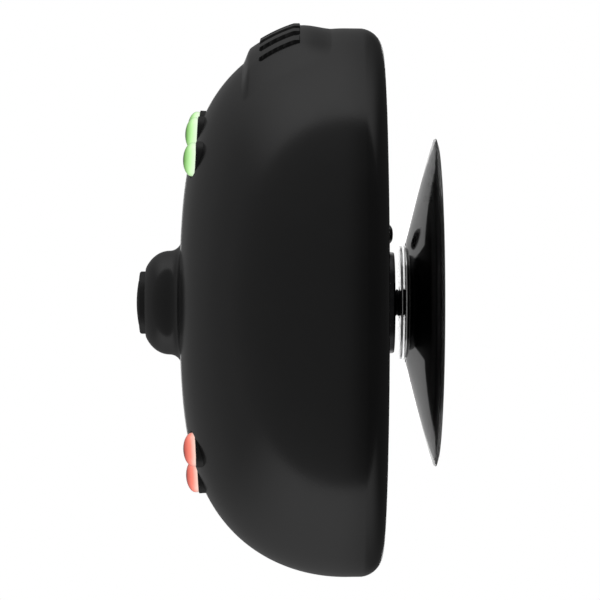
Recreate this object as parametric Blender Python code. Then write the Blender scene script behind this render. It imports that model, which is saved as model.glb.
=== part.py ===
"""Windscreen radar detector: a round housing on a threaded stud and a suction cup.

The windscreen is the plane y = 0. The device hangs on its cabin side, so the face with the
keys and warning lamps looks along -Y, +Z is up, and every turned piece has its axis on Y.
All sizes are in metres.
"""

import math

import bmesh
import bpy
from mathutils import Matrix, Vector

# Clearance between pieces that touch or slide on each other
GAP = 0.0003

# Suction cup, pressed on the glass
CUP_RADIUS = 0.0252
CUP_HEIGHT = 0.0049
CUP_NECK_RADIUS = 0.0094
CUP_RIM_THICKNESS = 0.0008
CUP_RIM_ROUND = 0.0002
CUP_HOLLOW_DEPTH = 0.0011
CUP_SEAL_WIDTH = 0.0055
CUP_FLARE_CURVED_SHARE = 0.16
CUP_FLARE_POWER = 5
CUP_FLARE_STEPS = 8
CUP_PLATE_SEAT_DEPTH = 0.0004

# Stud and the discs on it
STUD_RADIUS = 0.0021
STUD_SEAT_DEPTH = 0.0016
STUD_SHOWING = 0.00085
STUD_GRIP = 0.0062
HEAD_PLATE_RADIUS = 0.0089
HEAD_PLATE_THICKNESS = 0.0004
WASHER_RADIUS = 0.0088
WASHER_THICKNESS = 0.0003
LOCK_NUT_RADIUS = 0.0078
LOCK_NUT_THICKNESS = 0.00155
LOCK_NUT_CHAMFER = 0.0002
LOCK_NUT_SLOT = (0.0018, 0.0004, 0.0016)
STUD_CHAMFER = 0.0005
INSERT_WALL = 0.0013

# Housing: widest circle, how far it runs back and how far its dome bulges forward
BODY_RADIUS = 0.042
BODY_RIM_DEPTH = 0.0058
BODY_DOME_DEPTH = 0.025
BODY_FULLNESS = 3.5
BODY_CORNER_RADIUS = 0.0037
BODY_WALL = 0.002
BODY_RIM_WIDTH = 0.0015

# Back cover
COVER_THICKNESS = 0.0024
COVER_LEDGE = 0.0018
COVER_BOSS_WALL = 0.0016
COVER_CHAMFER = 0.0003

# Hub in the middle of the face, and its two keys
HUB_RADIUS = 0.008
HUB_HEIGHT = 0.006
HUB_FILLET = 0.0018
HUB_FOOT_REACH = 1.6
HUB_CROWN_SHARE = 0.55
HUB_CROWN_ANGLES = (30.0, 90.0)
HUB_FOOT_ANGLES = (180.0, 105.0)
KEY_RING_RADIUS = 0.0048
KEY_RING_PROUD = 0.0004
KEY_RING_FLANGE = 0.0012
KEY_CENTRE_RADIUS = 0.0036
KEY_CENTRE_PROUD = 0.0005
KEY_CENTRE_CROWN = 0.0003
KEY_CHAMFER = 0.0003
KEY_GUIDE = 0.0017
KEY_FLANGE_THICKNESS = 0.001
KEY_TRAVEL = 0.0005
KEY_STEM_RADIUS = 0.0014
KEY_LEG_RADIUS = 0.0006
KEY_LEG_INSET = 0.00005

# Raised panel on top of the dome, with its row of grip ribs
PANEL_HALF_WIDTH = 0.0236
PANEL_HEIGHT = 0.0015
PANEL_FRONT = 0.0156
PANEL_FADE_START = 0.008
PANEL_FADE_END = 0.0012
PANEL_SINK = 0.0005
RIB_COUNT = 9
RIB_SPAN = 0.033
RIB_WIDTH = 0.0026
RIB_HEIGHT = 0.00045
RIB_FRONT = 0.0132
RIB_LENGTH = 0.0067

# Warning lamps: domed lenses on round sockets that stand out of the sloping face
LAMP_CIRCLE = 0.02685
LAMP_TILT = math.radians(3.3)
LAMP_BASE_DEPTH = 0.0027
LENS_RADIUS = 0.0025
LENS_HEIGHT = 0.0018
LENS_EDGE = 0.0004
LENS_STEM_RADIUS = 0.0014
LENS_STEM_ROOM = 0.008
SOCKET_WALL = 0.0002
SOCKET_ROOT = 0.003
GREEN_ANGLES = (52.0, 71.0, 90.0, 109.0, 128.0)
RED_ANGLES = (-54.0, -78.0, -102.0, -126.0)

# Electronics
BOARD_THICKNESS = 0.0016
LAMP_BOARD_DEPTH = 0.0081
LAMP_BOARD_RADIUS = 0.0305
BOARD_SPACING = 0.004
MAIN_BOARD_RADIUS = 0.0342
BOARD_NOTCH_CLEARANCE = 0.0004
EMITTER_SIZE = (0.002, 0.0008, 0.0016)
SWITCH_SIDE = 0.0045
SWITCH_HEIGHT = 0.0022
SWITCH_PLUNGER_RADIUS = 0.0009
SWITCH_PLUNGER_HEIGHT = 0.0006
POST_CIRCLE = 0.0155
POST_RADIUS = 0.0016
POST_ANGLES = (0.0, 180.0, 270.0)
POST_ROOT = 0.0006
SPACER_CIRCLE = 0.022
SPACER_RADIUS = 0.0018
SPACER_ANGLES = (35.0, 145.0, 215.0, 325.0)
HEADER_SIZE = (0.013, 0.0026)
HEADER_CENTRE_Z = 0.012
PROCESSOR_SIZE = (0.01, 0.0012, 0.01)
PROCESSOR_CENTRE_Z = -0.008
SHIELD_CAN_SIZE = (0.012, 0.0034, 0.012)
SHIELD_CAN_CENTRE_X = 0.019
HORN_MOUTH = (0.024, 0.014)
HORN_THROAT = (0.011, 0.005)
HORN_WALL = 0.001
HORN_CENTRE_Z = -0.0195
HORN_THROAT_LENGTH = 0.0035
SPEAKER_RADIUS = 0.009
SPEAKER_DEPTH = 0.0055
SPEAKER_MAGNET_RADIUS = 0.0048
SPEAKER_CENTRE_Z = 0.0228
SPEAKER_BASKET_DEPTH = 0.0025
SPEAKER_EDGE = 0.001
SPEAKER_CONE = ((0.35, 0.0022), (0.85, 0.0006), (0.88, 0.0))
SPEAKER_CONE_DEPTH = 0.0016
GRILLE_SLOTS = 5
GRILLE_PITCH = 0.0026
GRILLE_SLOT_WIDTH = 0.0012
GRILLE_FILL = 0.85
LASER_LENS_RADIUS = 0.00185
LASER_LENS_PROUD = 0.0017
LASER_CENTRE_Z = 0.0105
LASER_FLANGE_WIDTH = 0.0009
LASER_FLANGE_THICKNESS = 0.0008
LASER_BLUNTNESS = 0.7
LASER_SENSOR_SIZE = (0.006, 0.0045, 0.005)
POWER_BARREL_RADIUS = 0.00275
POWER_BORE_RADIUS = 0.00175
POWER_BORE_DEPTH = 0.0075
POWER_BODY = (0.0095, 0.0059, 0.009)
POWER_BODY_INNER_X = -0.0275
POWER_MOUTH_INSET = 0.0012

# Screws that hold the back cover
SCREW_CIRCLE = 0.0315
SCREW_ANGLES = (20.0, 160.0, 200.0, 340.0)
SCREW_BOSS_RADIUS = 0.0026
SCREW_BOSS_ROOT = 0.0005
SCREW_HEAD_RADIUS = 0.0018
SCREW_HEAD_THICKNESS = 0.001
SCREW_SHANK_RADIUS = 0.0008
SCREW_LENGTH = 0.0065
SCREW_SLOT = 0.0005

# Smoothness of the turned pieces: sides round the axis, and steps along the housing's curves
BODY_SIDES = 48
PIECE_SIDES = 24
SMALL_SIDES = 12
DOME_STEPS = 11
DOME_INSIDE_STEPS = 7
PANEL_STEPS = 11
HUB_STEPS = 5
CORNER_STEPS = 4
FOOT_STEPS = 3
LENS_STEPS = 5

# How far the cutting guides reach past a face they cut through
PASS = 0.001

# Places along the axis, from the glass inwards
CUP_NECK_END = -CUP_HEIGHT + CUP_PLATE_SEAT_DEPTH
PLATE_BACK = CUP_NECK_END - GAP
PLATE_FRONT = PLATE_BACK - HEAD_PLATE_THICKNESS
WASHER_BACK = PLATE_FRONT - GAP
WASHER_FRONT = WASHER_BACK - WASHER_THICKNESS
NUT_BACK = WASHER_FRONT - STUD_SHOWING
NUT_FRONT = NUT_BACK - LOCK_NUT_THICKNESS
BODY_BACK = NUT_FRONT - GAP
BODY_WIDEST = BODY_BACK - BODY_RIM_DEPTH
FACE = BODY_WIDEST - BODY_DOME_DEPTH
HUB_FRONT = FACE - HUB_HEIGHT
COVER_INSIDE = BODY_BACK - COVER_THICKNESS
LAMP_BOARD_FRONT = FACE + LAMP_BOARD_DEPTH
LAMP_BOARD_BACK = LAMP_BOARD_FRONT + BOARD_THICKNESS
MAIN_BOARD_FRONT = LAMP_BOARD_BACK + BOARD_SPACING
MAIN_BOARD_BACK = MAIN_BOARD_FRONT + BOARD_THICKNESS
LAMP_BASE = FACE + LAMP_BASE_DEPTH
STUD_TIP = BODY_BACK - STUD_GRIP

# Circles that fit each other
OPENING_RADIUS = BODY_RADIUS - BODY_CORNER_RADIUS - BODY_RIM_WIDTH
COVER_RADIUS = OPENING_RADIUS - GAP
LEDGE_RADIUS = OPENING_RADIUS - COVER_LEDGE
STUD_HOLE_RADIUS = STUD_RADIUS + GAP
INSERT_RADIUS = STUD_HOLE_RADIUS + INSERT_WALL
COVER_BORE_RADIUS = INSERT_RADIUS + GAP
COVER_BOSS_RADIUS = COVER_BORE_RADIUS + COVER_BOSS_WALL
KEY_BORE_RADIUS = KEY_RING_RADIUS + GAP
KEY_CHAMBER_RADIUS = KEY_RING_RADIUS + KEY_RING_FLANGE + GAP


# ---------------------------------------------------------------- scene helpers

def clear_scene():
    for obj in list(bpy.data.objects):
        bpy.data.objects.remove(obj, do_unlink=True)


def material(name, colour, roughness, metallic=0.0):
    mat = bpy.data.materials.new(name)
    mat.use_nodes = True
    shader = mat.node_tree.nodes["Principled BSDF"]
    shader.inputs["Base Color"].default_value = (*colour, 1.0)
    shader.inputs["Roughness"].default_value = roughness
    shader.inputs["Metallic"].default_value = metallic
    return mat


def make_materials():
    return {
        "body": material("satin_black_plastic", (0.018, 0.018, 0.019), 0.5),
        "cover": material("moulded_black_plastic", (0.012, 0.012, 0.013), 0.55),
        "key": material("key_black_rubber", (0.015, 0.015, 0.016), 0.6),
        "green": material("green_lens", (0.16, 0.75, 0.12), 0.2),
        "red": material("red_lens", (0.9, 0.12, 0.08), 0.2),
        "cup": material("cup_vinyl", (0.004, 0.004, 0.004), 0.12),
        "chrome": material("chrome_plate", (0.8, 0.8, 0.8), 0.08, 1.0),
        "steel": material("black_steel", (0.05, 0.05, 0.05), 0.35, 1.0),
        "brass": material("brass", (0.6, 0.42, 0.15), 0.3, 1.0),
        "board": material("circuit_board", (0.01, 0.12, 0.05), 0.4),
        "cast": material("cast_zinc", (0.55, 0.55, 0.56), 0.4, 1.0),
        "chip": material("chip_black", (0.02, 0.02, 0.02), 0.45),
        "filter": material("infrared_filter", (0.01, 0.004, 0.006), 0.08),
        "paper": material("speaker_cone", (0.05, 0.05, 0.05), 0.8),
        "emitter": material("emitter_white", (0.8, 0.8, 0.7), 0.4),
    }


def group(name, parent=None):
    """An empty on the device's axis that holds the pieces which move together."""
    empty = bpy.data.objects.new(name, None)
    bpy.context.collection.objects.link(empty)
    empty.parent = parent
    return empty


def add_object(name, mesh_data, parent=None, mat=None, smooth=True):
    """Turn a bmesh into an object, with round faces smooth and edges over 35 degrees sharp."""
    bmesh.ops.recalc_face_normals(mesh_data, faces=mesh_data.faces)
    mesh = bpy.data.meshes.new(name)
    mesh_data.to_mesh(mesh)
    mesh_data.free()
    if smooth:
        mesh.shade_smooth()
        mesh.set_sharp_from_angle(angle=math.radians(35))
    obj = bpy.data.objects.new(name, mesh)
    bpy.context.collection.objects.link(obj)
    obj.parent = parent
    if mat:
        mesh.materials.append(mat)
    return obj


def boolean(target, tool, operation="DIFFERENCE"):
    """Cut or join a guide object into the target, and keep the guide out of the model."""
    tool.hide_render = True
    tool.display_type = "WIRE"
    step = target.modifiers.new(tool.name, "BOOLEAN")
    step.object = tool
    step.operation = operation
    step.solver = "EXACT"


# ---------------------------------------------------------------- shape helpers

def lathe(profile, sides, closed=False):
    """Turn a list of (radius, y) points about the Y axis."""
    shape = bmesh.new()
    ring = [shape.verts.new((radius, y, 0.0)) for radius, y in profile]
    pairs = list(zip(ring, ring[1:]))
    if closed:
        pairs.append((ring[-1], ring[0]))
    edges = [shape.edges.new(pair) for pair in pairs]
    bmesh.ops.spin(
        shape, geom=ring + edges, cent=(0, 0, 0), axis=(0, 1, 0),
        angle=math.tau, steps=sides, use_duplicate=False,
    )
    bmesh.ops.remove_doubles(shape, verts=shape.verts, dist=1e-7)
    return shape


def disc(radius, back, front, sides=PIECE_SIDES):
    return lathe([(0, back), (radius, back), (radius, front), (0, front)], sides)


def washer(inner, outer, back, front, sides=PIECE_SIDES):
    outline = [(inner, back), (outer, back), (outer, front), (inner, front)]
    return lathe(outline, sides, closed=True)


def box(size, centre):
    shape = bmesh.new()
    bmesh.ops.create_cube(shape, size=1.0)
    bmesh.ops.scale(shape, vec=size, verts=shape.verts)
    bmesh.ops.translate(shape, vec=centre, verts=shape.verts)
    return shape


def moved(shape, matrix):
    bmesh.ops.transform(shape, matrix=matrix, verts=shape.verts)
    return shape


def on_circle(radius, degrees, y=0.0):
    angle = math.radians(degrees)
    return Vector((radius * math.cos(angle), y, radius * math.sin(angle)))


def merged(shapes):
    """Gather separate bmeshes into one guide mesh."""
    whole = bmesh.new()
    for shape in shapes:
        part = bpy.data.meshes.new("part")
        shape.to_mesh(part)
        shape.free()
        whole.from_mesh(part)
        bpy.data.meshes.remove(part)
    return whole


def arc(centre, radius, start, end, steps):
    """Points on a circle in the (radius, y) plane, from one angle to another in degrees."""
    points = []
    for step in range(steps + 1):
        angle = math.radians(start + (end - start) * step / steps)
        points.append((centre[0] + radius * math.cos(angle), centre[1] + radius * math.sin(angle)))
    return points


def lamp_frame(degrees):
    """The frame of a lamp: its origin on the lens base, its -Y leaning outwards."""
    angle = math.radians(degrees)
    tangent = Vector((-math.sin(angle), 0, math.cos(angle)))
    lean = Matrix.Rotation(LAMP_TILT, 4, tangent)
    return Matrix.Translation(on_circle(LAMP_CIRCLE, degrees, LAMP_BASE)) @ lean


# ---------------------------------------------------------------- suction cup and stud

def make_cup(parent, mats):
    """A flattened vinyl cup: flared outside, seats for plate and stud, a shallow hollow."""
    flare = []
    cone_depth = CUP_HEIGHT - CUP_RIM_THICKNESS
    cone_width = CUP_RADIUS - CUP_RIM_ROUND - CUP_NECK_RADIUS
    for step in range(CUP_FLARE_STEPS + 1):
        share = step / CUP_FLARE_STEPS
        curved = CUP_FLARE_CURVED_SHARE * share ** CUP_FLARE_POWER
        rise = cone_depth * ((1 - CUP_FLARE_CURVED_SHARE) * share + curved)
        flare.append((CUP_NECK_RADIUS + cone_width * share, -CUP_HEIGHT + rise))
    rim = [
        (CUP_RADIUS - CUP_RIM_ROUND * 0.3, -CUP_RIM_THICKNESS * 0.7),
        (CUP_RADIUS, -CUP_RIM_THICKNESS * 0.3),
        (CUP_RADIUS - 0.0001, 0),
    ]
    hollow_radius = CUP_RADIUS - CUP_SEAL_WIDTH
    hollow = [
        (hollow_radius, 0),
        (hollow_radius * 0.8, -CUP_HOLLOW_DEPTH * 0.45),
        (hollow_radius * 0.5, -CUP_HOLLOW_DEPTH * 0.85),
        (0, -CUP_HOLLOW_DEPTH),
    ]
    stud_seat_radius = STUD_RADIUS + GAP
    stud_seat_y = CUP_NECK_END + STUD_SEAT_DEPTH + GAP
    plate_seat_radius = HEAD_PLATE_RADIUS + GAP
    seat = [
        (0, stud_seat_y),
        (stud_seat_radius, stud_seat_y),
        (stud_seat_radius, CUP_NECK_END),
        (plate_seat_radius, CUP_NECK_END),
        (plate_seat_radius, -CUP_HEIGHT),
    ]
    outline = seat + flare + rim + hollow
    add_object("suction_cup", lathe(outline, BODY_SIDES), parent, mats["cup"])


def make_stud(parent, mats):
    """The plain cylinder of the thread, chamfered at its tip, from the cup to the insert."""
    back = CUP_NECK_END + STUD_SEAT_DEPTH
    outline = [
        (0, back),
        (STUD_RADIUS, back),
        (STUD_RADIUS, STUD_TIP + STUD_CHAMFER),
        (STUD_RADIUS - STUD_CHAMFER, STUD_TIP),
        (0, STUD_TIP),
    ]
    add_object("threaded_stud", lathe(outline, PIECE_SIDES), parent, mats["steel"])


def make_discs(parent, mats):
    """The bright plate on the cup's neck and the thin washer in front of it."""
    plate = washer(STUD_HOLE_RADIUS, HEAD_PLATE_RADIUS, PLATE_BACK, PLATE_FRONT, BODY_SIDES)
    add_object("head_plate", plate, parent, mats["chrome"])
    ring = washer(STUD_HOLE_RADIUS, WASHER_RADIUS, WASHER_BACK, WASHER_FRONT, BODY_SIDES)
    add_object("chrome_washer", ring, parent, mats["chrome"])


def make_lock_nut(parent, mats):
    """A thin round nut with chamfered edges and two slots in its back for a pin wrench."""
    outline = [
        (STUD_HOLE_RADIUS, NUT_BACK),
        (LOCK_NUT_RADIUS - LOCK_NUT_CHAMFER, NUT_BACK),
        (LOCK_NUT_RADIUS, NUT_BACK - LOCK_NUT_CHAMFER),
        (LOCK_NUT_RADIUS, NUT_FRONT + LOCK_NUT_CHAMFER),
        (LOCK_NUT_RADIUS - LOCK_NUT_CHAMFER, NUT_FRONT),
        (STUD_HOLE_RADIUS, NUT_FRONT),
    ]
    shape = lathe(outline, BODY_SIDES, closed=True)
    nut = add_object("lock_nut", shape, parent, mats["steel"])
    width, depth, length = LOCK_NUT_SLOT
    slots = []
    for side in (-1, 1):
        centre = (0, NUT_BACK, side * LOCK_NUT_RADIUS)
        slots.append(box((width, depth * 2, length * 2), centre))
    boolean(nut, add_object("wrench_slots", merged(slots)))


# ---------------------------------------------------------------- housing

def dome_outline(radius, depth, start_radius, steps):
    """The dome from a small radius out to its widest circle, as (radius, y) points."""
    first = math.asin((start_radius / radius) ** (BODY_FULLNESS / 2))
    points = []
    for step in range(steps + 1):
        angle = first + (math.pi / 2 - first) * step / steps
        share = math.sin(angle) ** (2 / BODY_FULLNESS)
        points.append((radius * share, BODY_WIDEST - depth * math.cos(angle)))
    return points


def hub_outline():
    """The hub from its key bore out to the fillet at its foot."""
    shoulder_y = FACE - HUB_FILLET
    rise = shoulder_y - HUB_FRONT
    spread = HUB_RADIUS - KEY_BORE_RADIUS * HUB_CROWN_SHARE
    inner = HUB_RADIUS - spread
    points = []
    first, last = HUB_CROWN_ANGLES
    for step in range(HUB_STEPS + 1):
        angle = math.radians(first + (last - first) * step / HUB_STEPS)
        points.append((inner + spread * math.sin(angle), shoulder_y - rise * math.cos(angle)))
    foot_centre = (HUB_RADIUS + HUB_FILLET, FACE - HUB_FILLET)
    foot = arc(foot_centre, HUB_FILLET, *HUB_FOOT_ANGLES, FOOT_STEPS)
    return points + foot[1:]


def shell_outline():
    """The front shell's closed section: outside, rear opening, ledge, inside, key chamber."""
    outside = hub_outline()
    foot_radius = HUB_RADIUS + HUB_FILLET * HUB_FOOT_REACH
    outside += dome_outline(BODY_RADIUS, BODY_DOME_DEPTH, foot_radius, DOME_STEPS)
    corner = (BODY_RADIUS - BODY_CORNER_RADIUS, BODY_BACK - BODY_CORNER_RADIUS)
    outside += arc(corner, BODY_CORNER_RADIUS, 0, 90, CORNER_STEPS)
    ledge_back = COVER_INSIDE - GAP
    inside_radius = BODY_RADIUS - BODY_WALL
    ledge_front = ledge_back - BODY_WALL
    opening = [
        (OPENING_RADIUS, BODY_BACK),
        (OPENING_RADIUS, ledge_back),
        (LEDGE_RADIUS, ledge_back),
        (LEDGE_RADIUS, ledge_front),
        (inside_radius, ledge_front),
    ]
    inside_depth = BODY_DOME_DEPTH - BODY_WALL
    inside = dome_outline(inside_radius, inside_depth, KEY_CHAMBER_RADIUS, DOME_INSIDE_STEPS)
    chamber_front = hub_key_shelf()
    chamber = [
        (KEY_CHAMBER_RADIUS, chamber_front),
        (KEY_BORE_RADIUS, chamber_front),
        (KEY_BORE_RADIUS, outside[0][1]),
    ]
    return outside + opening + inside[::-1] + chamber


def hub_key_shelf():
    """Where the key bore widens into the chamber that holds the key flanges."""
    return HUB_FRONT + KEY_GUIDE + GAP


def panel_section(lift):
    """A section that stands proud of the dome by the lift and fades into it at the back."""
    outside = []
    for radius, y in dome_outline(BODY_RADIUS, BODY_DOME_DEPTH, BODY_RADIUS * 0.6, PANEL_STEPS):
        forward = BODY_WIDEST - y
        share = (forward - PANEL_FADE_END) / (PANEL_FADE_START - PANEL_FADE_END)
        share = min(max(share, 0.0), 1.0)
        ease = share * share * (3 - 2 * share)
        outside.append((radius + (lift + PANEL_SINK) * ease - PANEL_SINK, y))
    half_wall = BODY_WALL / 2
    core_radius = BODY_RADIUS - half_wall
    core = dome_outline(core_radius, BODY_DOME_DEPTH - half_wall, core_radius * 0.6, PANEL_STEPS)
    return outside + core[::-1]


def raised_blocks(name, lift, half_width, centres, front, back):
    """The pieces of a slightly larger dome that lie over rectangles of the shell's top."""
    solid = add_object(name, lathe(panel_section(lift), BODY_SIDES, closed=True))
    middle_y = BODY_WIDEST - (front + back) / 2
    size = (half_width * 2, front - back, BODY_RADIUS)
    windows = [box(size, (x, middle_y, BODY_RADIUS * 0.9)) for x in centres]
    boolean(solid, add_object(name + "_windows", merged(windows)), "INTERSECT")
    return solid


def raised_panel():
    back = PANEL_FADE_END * 0.4
    return raised_blocks("panel", PANEL_HEIGHT, PANEL_HALF_WIDTH, [0.0], PANEL_FRONT, back)


def grip_ribs():
    """Bars across the middle of the raised panel, evenly spaced."""
    pitch = RIB_SPAN / (RIB_COUNT - 1)
    centres = [(index - (RIB_COUNT - 1) / 2) * pitch for index in range(RIB_COUNT)]
    back = RIB_FRONT - RIB_LENGTH
    return raised_blocks("ribs", PANEL_HEIGHT + RIB_HEIGHT, RIB_WIDTH / 2, centres, RIB_FRONT, back)


def lamp_cutters():
    """Sockets to add, and the stepped holes for the lens caps and their stems."""
    sockets, holes = [], []
    seat_radius = LENS_RADIUS + GAP
    stem_radius = LENS_STEM_RADIUS + GAP
    mouth = -LAMP_BASE_DEPTH * 2
    outline = [
        (0, mouth),
        (seat_radius, mouth),
        (seat_radius, GAP),
        (stem_radius, GAP),
        (stem_radius, LENS_STEM_ROOM),
        (0, LENS_STEM_ROOM),
    ]
    for degrees in GREEN_ANGLES + RED_ANGLES:
        frame = lamp_frame(degrees)
        socket = disc(LENS_RADIUS + SOCKET_WALL, SOCKET_ROOT, -GAP, PIECE_SIDES)
        sockets.append(moved(socket, frame))
        holes.append(moved(lathe(outline, PIECE_SIDES), frame))
    return merged(sockets), merged(holes)


def dome_y(radius):
    """Where the dome's outer face lies along the axis, at a radius."""
    share = radius / BODY_RADIUS
    return BODY_WIDEST - BODY_DOME_DEPTH * math.sqrt(1 - share ** BODY_FULLNESS)


def shell_posts():
    """Screw bosses for the cover and posts for the lamp board, rooted in the dome's wall."""
    shapes = []
    boss_foot = dome_y(SCREW_CIRCLE + SCREW_BOSS_RADIUS) + SCREW_BOSS_ROOT
    for degrees in SCREW_ANGLES:
        boss = disc(SCREW_BOSS_RADIUS, COVER_INSIDE - GAP, boss_foot, SMALL_SIDES)
        shapes.append(moved(boss, Matrix.Translation(on_circle(SCREW_CIRCLE, degrees))))
    post_foot = dome_y(POST_CIRCLE + POST_RADIUS) + POST_ROOT + GAP
    for degrees in POST_ANGLES:
        post = disc(POST_RADIUS, LAMP_BOARD_FRONT - GAP, post_foot, SMALL_SIDES)
        shapes.append(moved(post, Matrix.Translation(on_circle(POST_CIRCLE, degrees))))
    return merged(shapes)


def screw_pilots():
    shapes = []
    for degrees in SCREW_ANGLES:
        pilot = disc(SCREW_SHANK_RADIUS + GAP, COVER_INSIDE + GAP, screw_tip() - GAP, SMALL_SIDES)
        shapes.append(moved(pilot, Matrix.Translation(on_circle(SCREW_CIRCLE, degrees))))
    return merged(shapes)


def power_barrel(radius, inner_x, outer_x, sides=PIECE_SIDES):
    """A cylinder along X at the power inlet's place."""
    shape = disc(radius, inner_x, outer_x, sides)
    turn = Matrix.Rotation(-math.pi / 2, 4, "Z")
    return moved(shape, Matrix.Translation((0, power_y(), 0)) @ turn)


def power_y():
    return MAIN_BOARD_BACK + GAP + POWER_BODY[1] / 2


def make_shell(parent, mats):
    shell = add_object("front_shell", lathe(shell_outline(), BODY_SIDES, closed=True),
                       parent, mats["body"])
    sockets, lens_holes = lamp_cutters()
    boolean(shell, raised_panel(), "UNION")
    boolean(shell, grip_ribs(), "UNION")
    boolean(shell, add_object("shell_posts", shell_posts()), "UNION")
    boolean(shell, add_object("lamp_sockets", sockets), "UNION")
    boolean(shell, add_object("lens_holes", lens_holes))
    boolean(shell, add_object("screw_pilots", screw_pilots()))
    inlet_start = -BODY_RADIUS + BODY_WALL * 3
    inlet = power_barrel(POWER_BARREL_RADIUS + GAP, inlet_start, -BODY_RADIUS - PASS)
    boolean(shell, add_object("inlet_hole", inlet))


# ---------------------------------------------------------------- back cover

def screw_tip():
    return screw_head_front() - SCREW_LENGTH


def screw_head_front():
    """The plane where the screw heads rest, a gap above the floor of their recess."""
    return BODY_BACK - GAP - SCREW_HEAD_THICKNESS


def cover_cutters():
    """Screw recesses and holes, speaker slots and the hole for the laser lens."""
    recesses, holes, slots = [], [], []
    for degrees in SCREW_ANGLES:
        place = Matrix.Translation(on_circle(SCREW_CIRCLE, degrees))
        floor = screw_head_front() - GAP
        recesses.append(moved(disc(SCREW_HEAD_RADIUS + GAP, BODY_BACK + PASS, floor), place))
        shank = disc(SCREW_SHANK_RADIUS + GAP, BODY_BACK, COVER_INSIDE - PASS, SMALL_SIDES)
        holes.append(moved(shank, place))
    hole = disc(LASER_LENS_RADIUS + GAP, BODY_BACK + PASS, COVER_INSIDE - PASS)
    holes.append(moved(hole, Matrix.Translation((0, 0, LASER_CENTRE_Z))))
    reach = SPEAKER_RADIUS - GRILLE_SLOT_WIDTH
    for index in range(GRILLE_SLOTS):
        offset = (index - (GRILLE_SLOTS - 1) / 2) * GRILLE_PITCH
        length = math.sqrt(max(reach ** 2 - offset ** 2, 0.0)) * 2 * GRILLE_FILL
        centre = (0, (BODY_BACK + COVER_INSIDE) / 2, SPEAKER_CENTRE_Z + offset)
        slots.append(box((length, COVER_THICKNESS * 2, GRILLE_SLOT_WIDTH), centre))
    return merged(recesses), merged(holes), merged(slots)


def make_cover(parent, mats):
    """A flat disc with a blind boss for the stud's insert."""
    boss_end = insert_front() - GAP - COVER_BOSS_WALL
    outline = [
        (0, insert_front() - GAP),
        (COVER_BORE_RADIUS, insert_front() - GAP),
        (COVER_BORE_RADIUS, BODY_BACK),
        (COVER_RADIUS - COVER_CHAMFER, BODY_BACK),
        (COVER_RADIUS, BODY_BACK - COVER_CHAMFER),
        (COVER_RADIUS, COVER_INSIDE),
        (COVER_BOSS_RADIUS, COVER_INSIDE),
        (COVER_BOSS_RADIUS, boss_end),
        (0, boss_end),
    ]
    cover = add_object("back_cover", lathe(outline, BODY_SIDES), parent, mats["cover"])
    recesses, holes, slots = cover_cutters()
    boolean(cover, add_object("screw_recesses", recesses))
    boolean(cover, add_object("cover_holes", holes))
    boolean(cover, add_object("grille_slots", slots))


def insert_front():
    return STUD_TIP - GAP


def make_insert(parent, mats):
    """The brass bush in the cover's boss that the stud screws into."""
    shape = washer(STUD_HOLE_RADIUS, INSERT_RADIUS, BODY_BACK - GAP, insert_front())
    add_object("brass_insert", shape, parent, mats["brass"])


def make_screws(parent, mats):
    """Pan head screws with one slot across the head."""
    for number, degrees in enumerate(SCREW_ANGLES, start=1):
        back = BODY_BACK - GAP
        seat = screw_head_front()
        tip = screw_tip()
        outline = [
            (0, back),
            (SCREW_HEAD_RADIUS * 0.8, back),
            (SCREW_HEAD_RADIUS, back - SCREW_HEAD_THICKNESS * 0.3),
            (SCREW_HEAD_RADIUS, seat),
            (SCREW_SHANK_RADIUS, seat),
            (SCREW_SHANK_RADIUS, tip + SCREW_SHANK_RADIUS),
            (0, tip),
        ]
        screw = add_object(f"cover_screw_{number}", lathe(outline, SMALL_SIDES),
                           parent, mats["steel"])
        screw.location = on_circle(SCREW_CIRCLE, degrees)
        slot_size = (SCREW_HEAD_RADIUS * 3, SCREW_HEAD_THICKNESS, SCREW_SLOT)
        slot = add_object(f"screw_slot_{number}", box(slot_size, (0, back, 0)))
        slot.location = screw.location
        boolean(screw, slot)


# ---------------------------------------------------------------- lamps

def lens_outline():
    """A domed cap with a short straight edge, and the stem that pipes the light into it."""
    rise = LENS_HEIGHT - LENS_EDGE
    stem_end = LAMP_BOARD_FRONT - GAP - EMITTER_SIZE[1] - GAP - LAMP_BASE
    points = [(0, stem_end), (LENS_STEM_RADIUS, stem_end), (LENS_STEM_RADIUS, 0), (LENS_RADIUS, 0)]
    for step in range(LENS_STEPS):
        angle = math.radians(90 * step / LENS_STEPS)
        points.append((LENS_RADIUS * math.cos(angle), -LENS_EDGE - rise * math.sin(angle)))
    points.append((0, -LENS_HEIGHT))
    return points


def make_lamps(parent, mats):
    """Each lamp is a lens in the shell and an emitter on the lamp board behind it."""
    for colour, angles in (("green", GREEN_ANGLES), ("red", RED_ANGLES)):
        for number, degrees in enumerate(angles, start=1):
            lens = add_object(f"{colour}_lens_{number}", lathe(lens_outline(), SMALL_SIDES),
                              parent, mats[colour])
            lens.matrix_local = lamp_frame(degrees)
            depth = LAMP_BOARD_FRONT - LAMP_BASE
            foot = lamp_frame(degrees) @ Vector((0, depth / math.cos(LAMP_TILT), 0))
            foot.y = LAMP_BOARD_FRONT - GAP - EMITTER_SIZE[1] / 2
            add_object(f"{colour}_emitter_{number}", box(EMITTER_SIZE, foot), parent,
                       mats["emitter"], smooth=False)


# ---------------------------------------------------------------- keys and switches

def switch_top():
    """The front of a switch's plunger."""
    return LAMP_BOARD_FRONT - GAP - SWITCH_HEIGHT - SWITCH_PLUNGER_HEIGHT


def key_rest():
    """Where a key's stem ends at rest, clear of the plunger by more than its travel."""
    return switch_top() - KEY_TRAVEL - GAP


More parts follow.
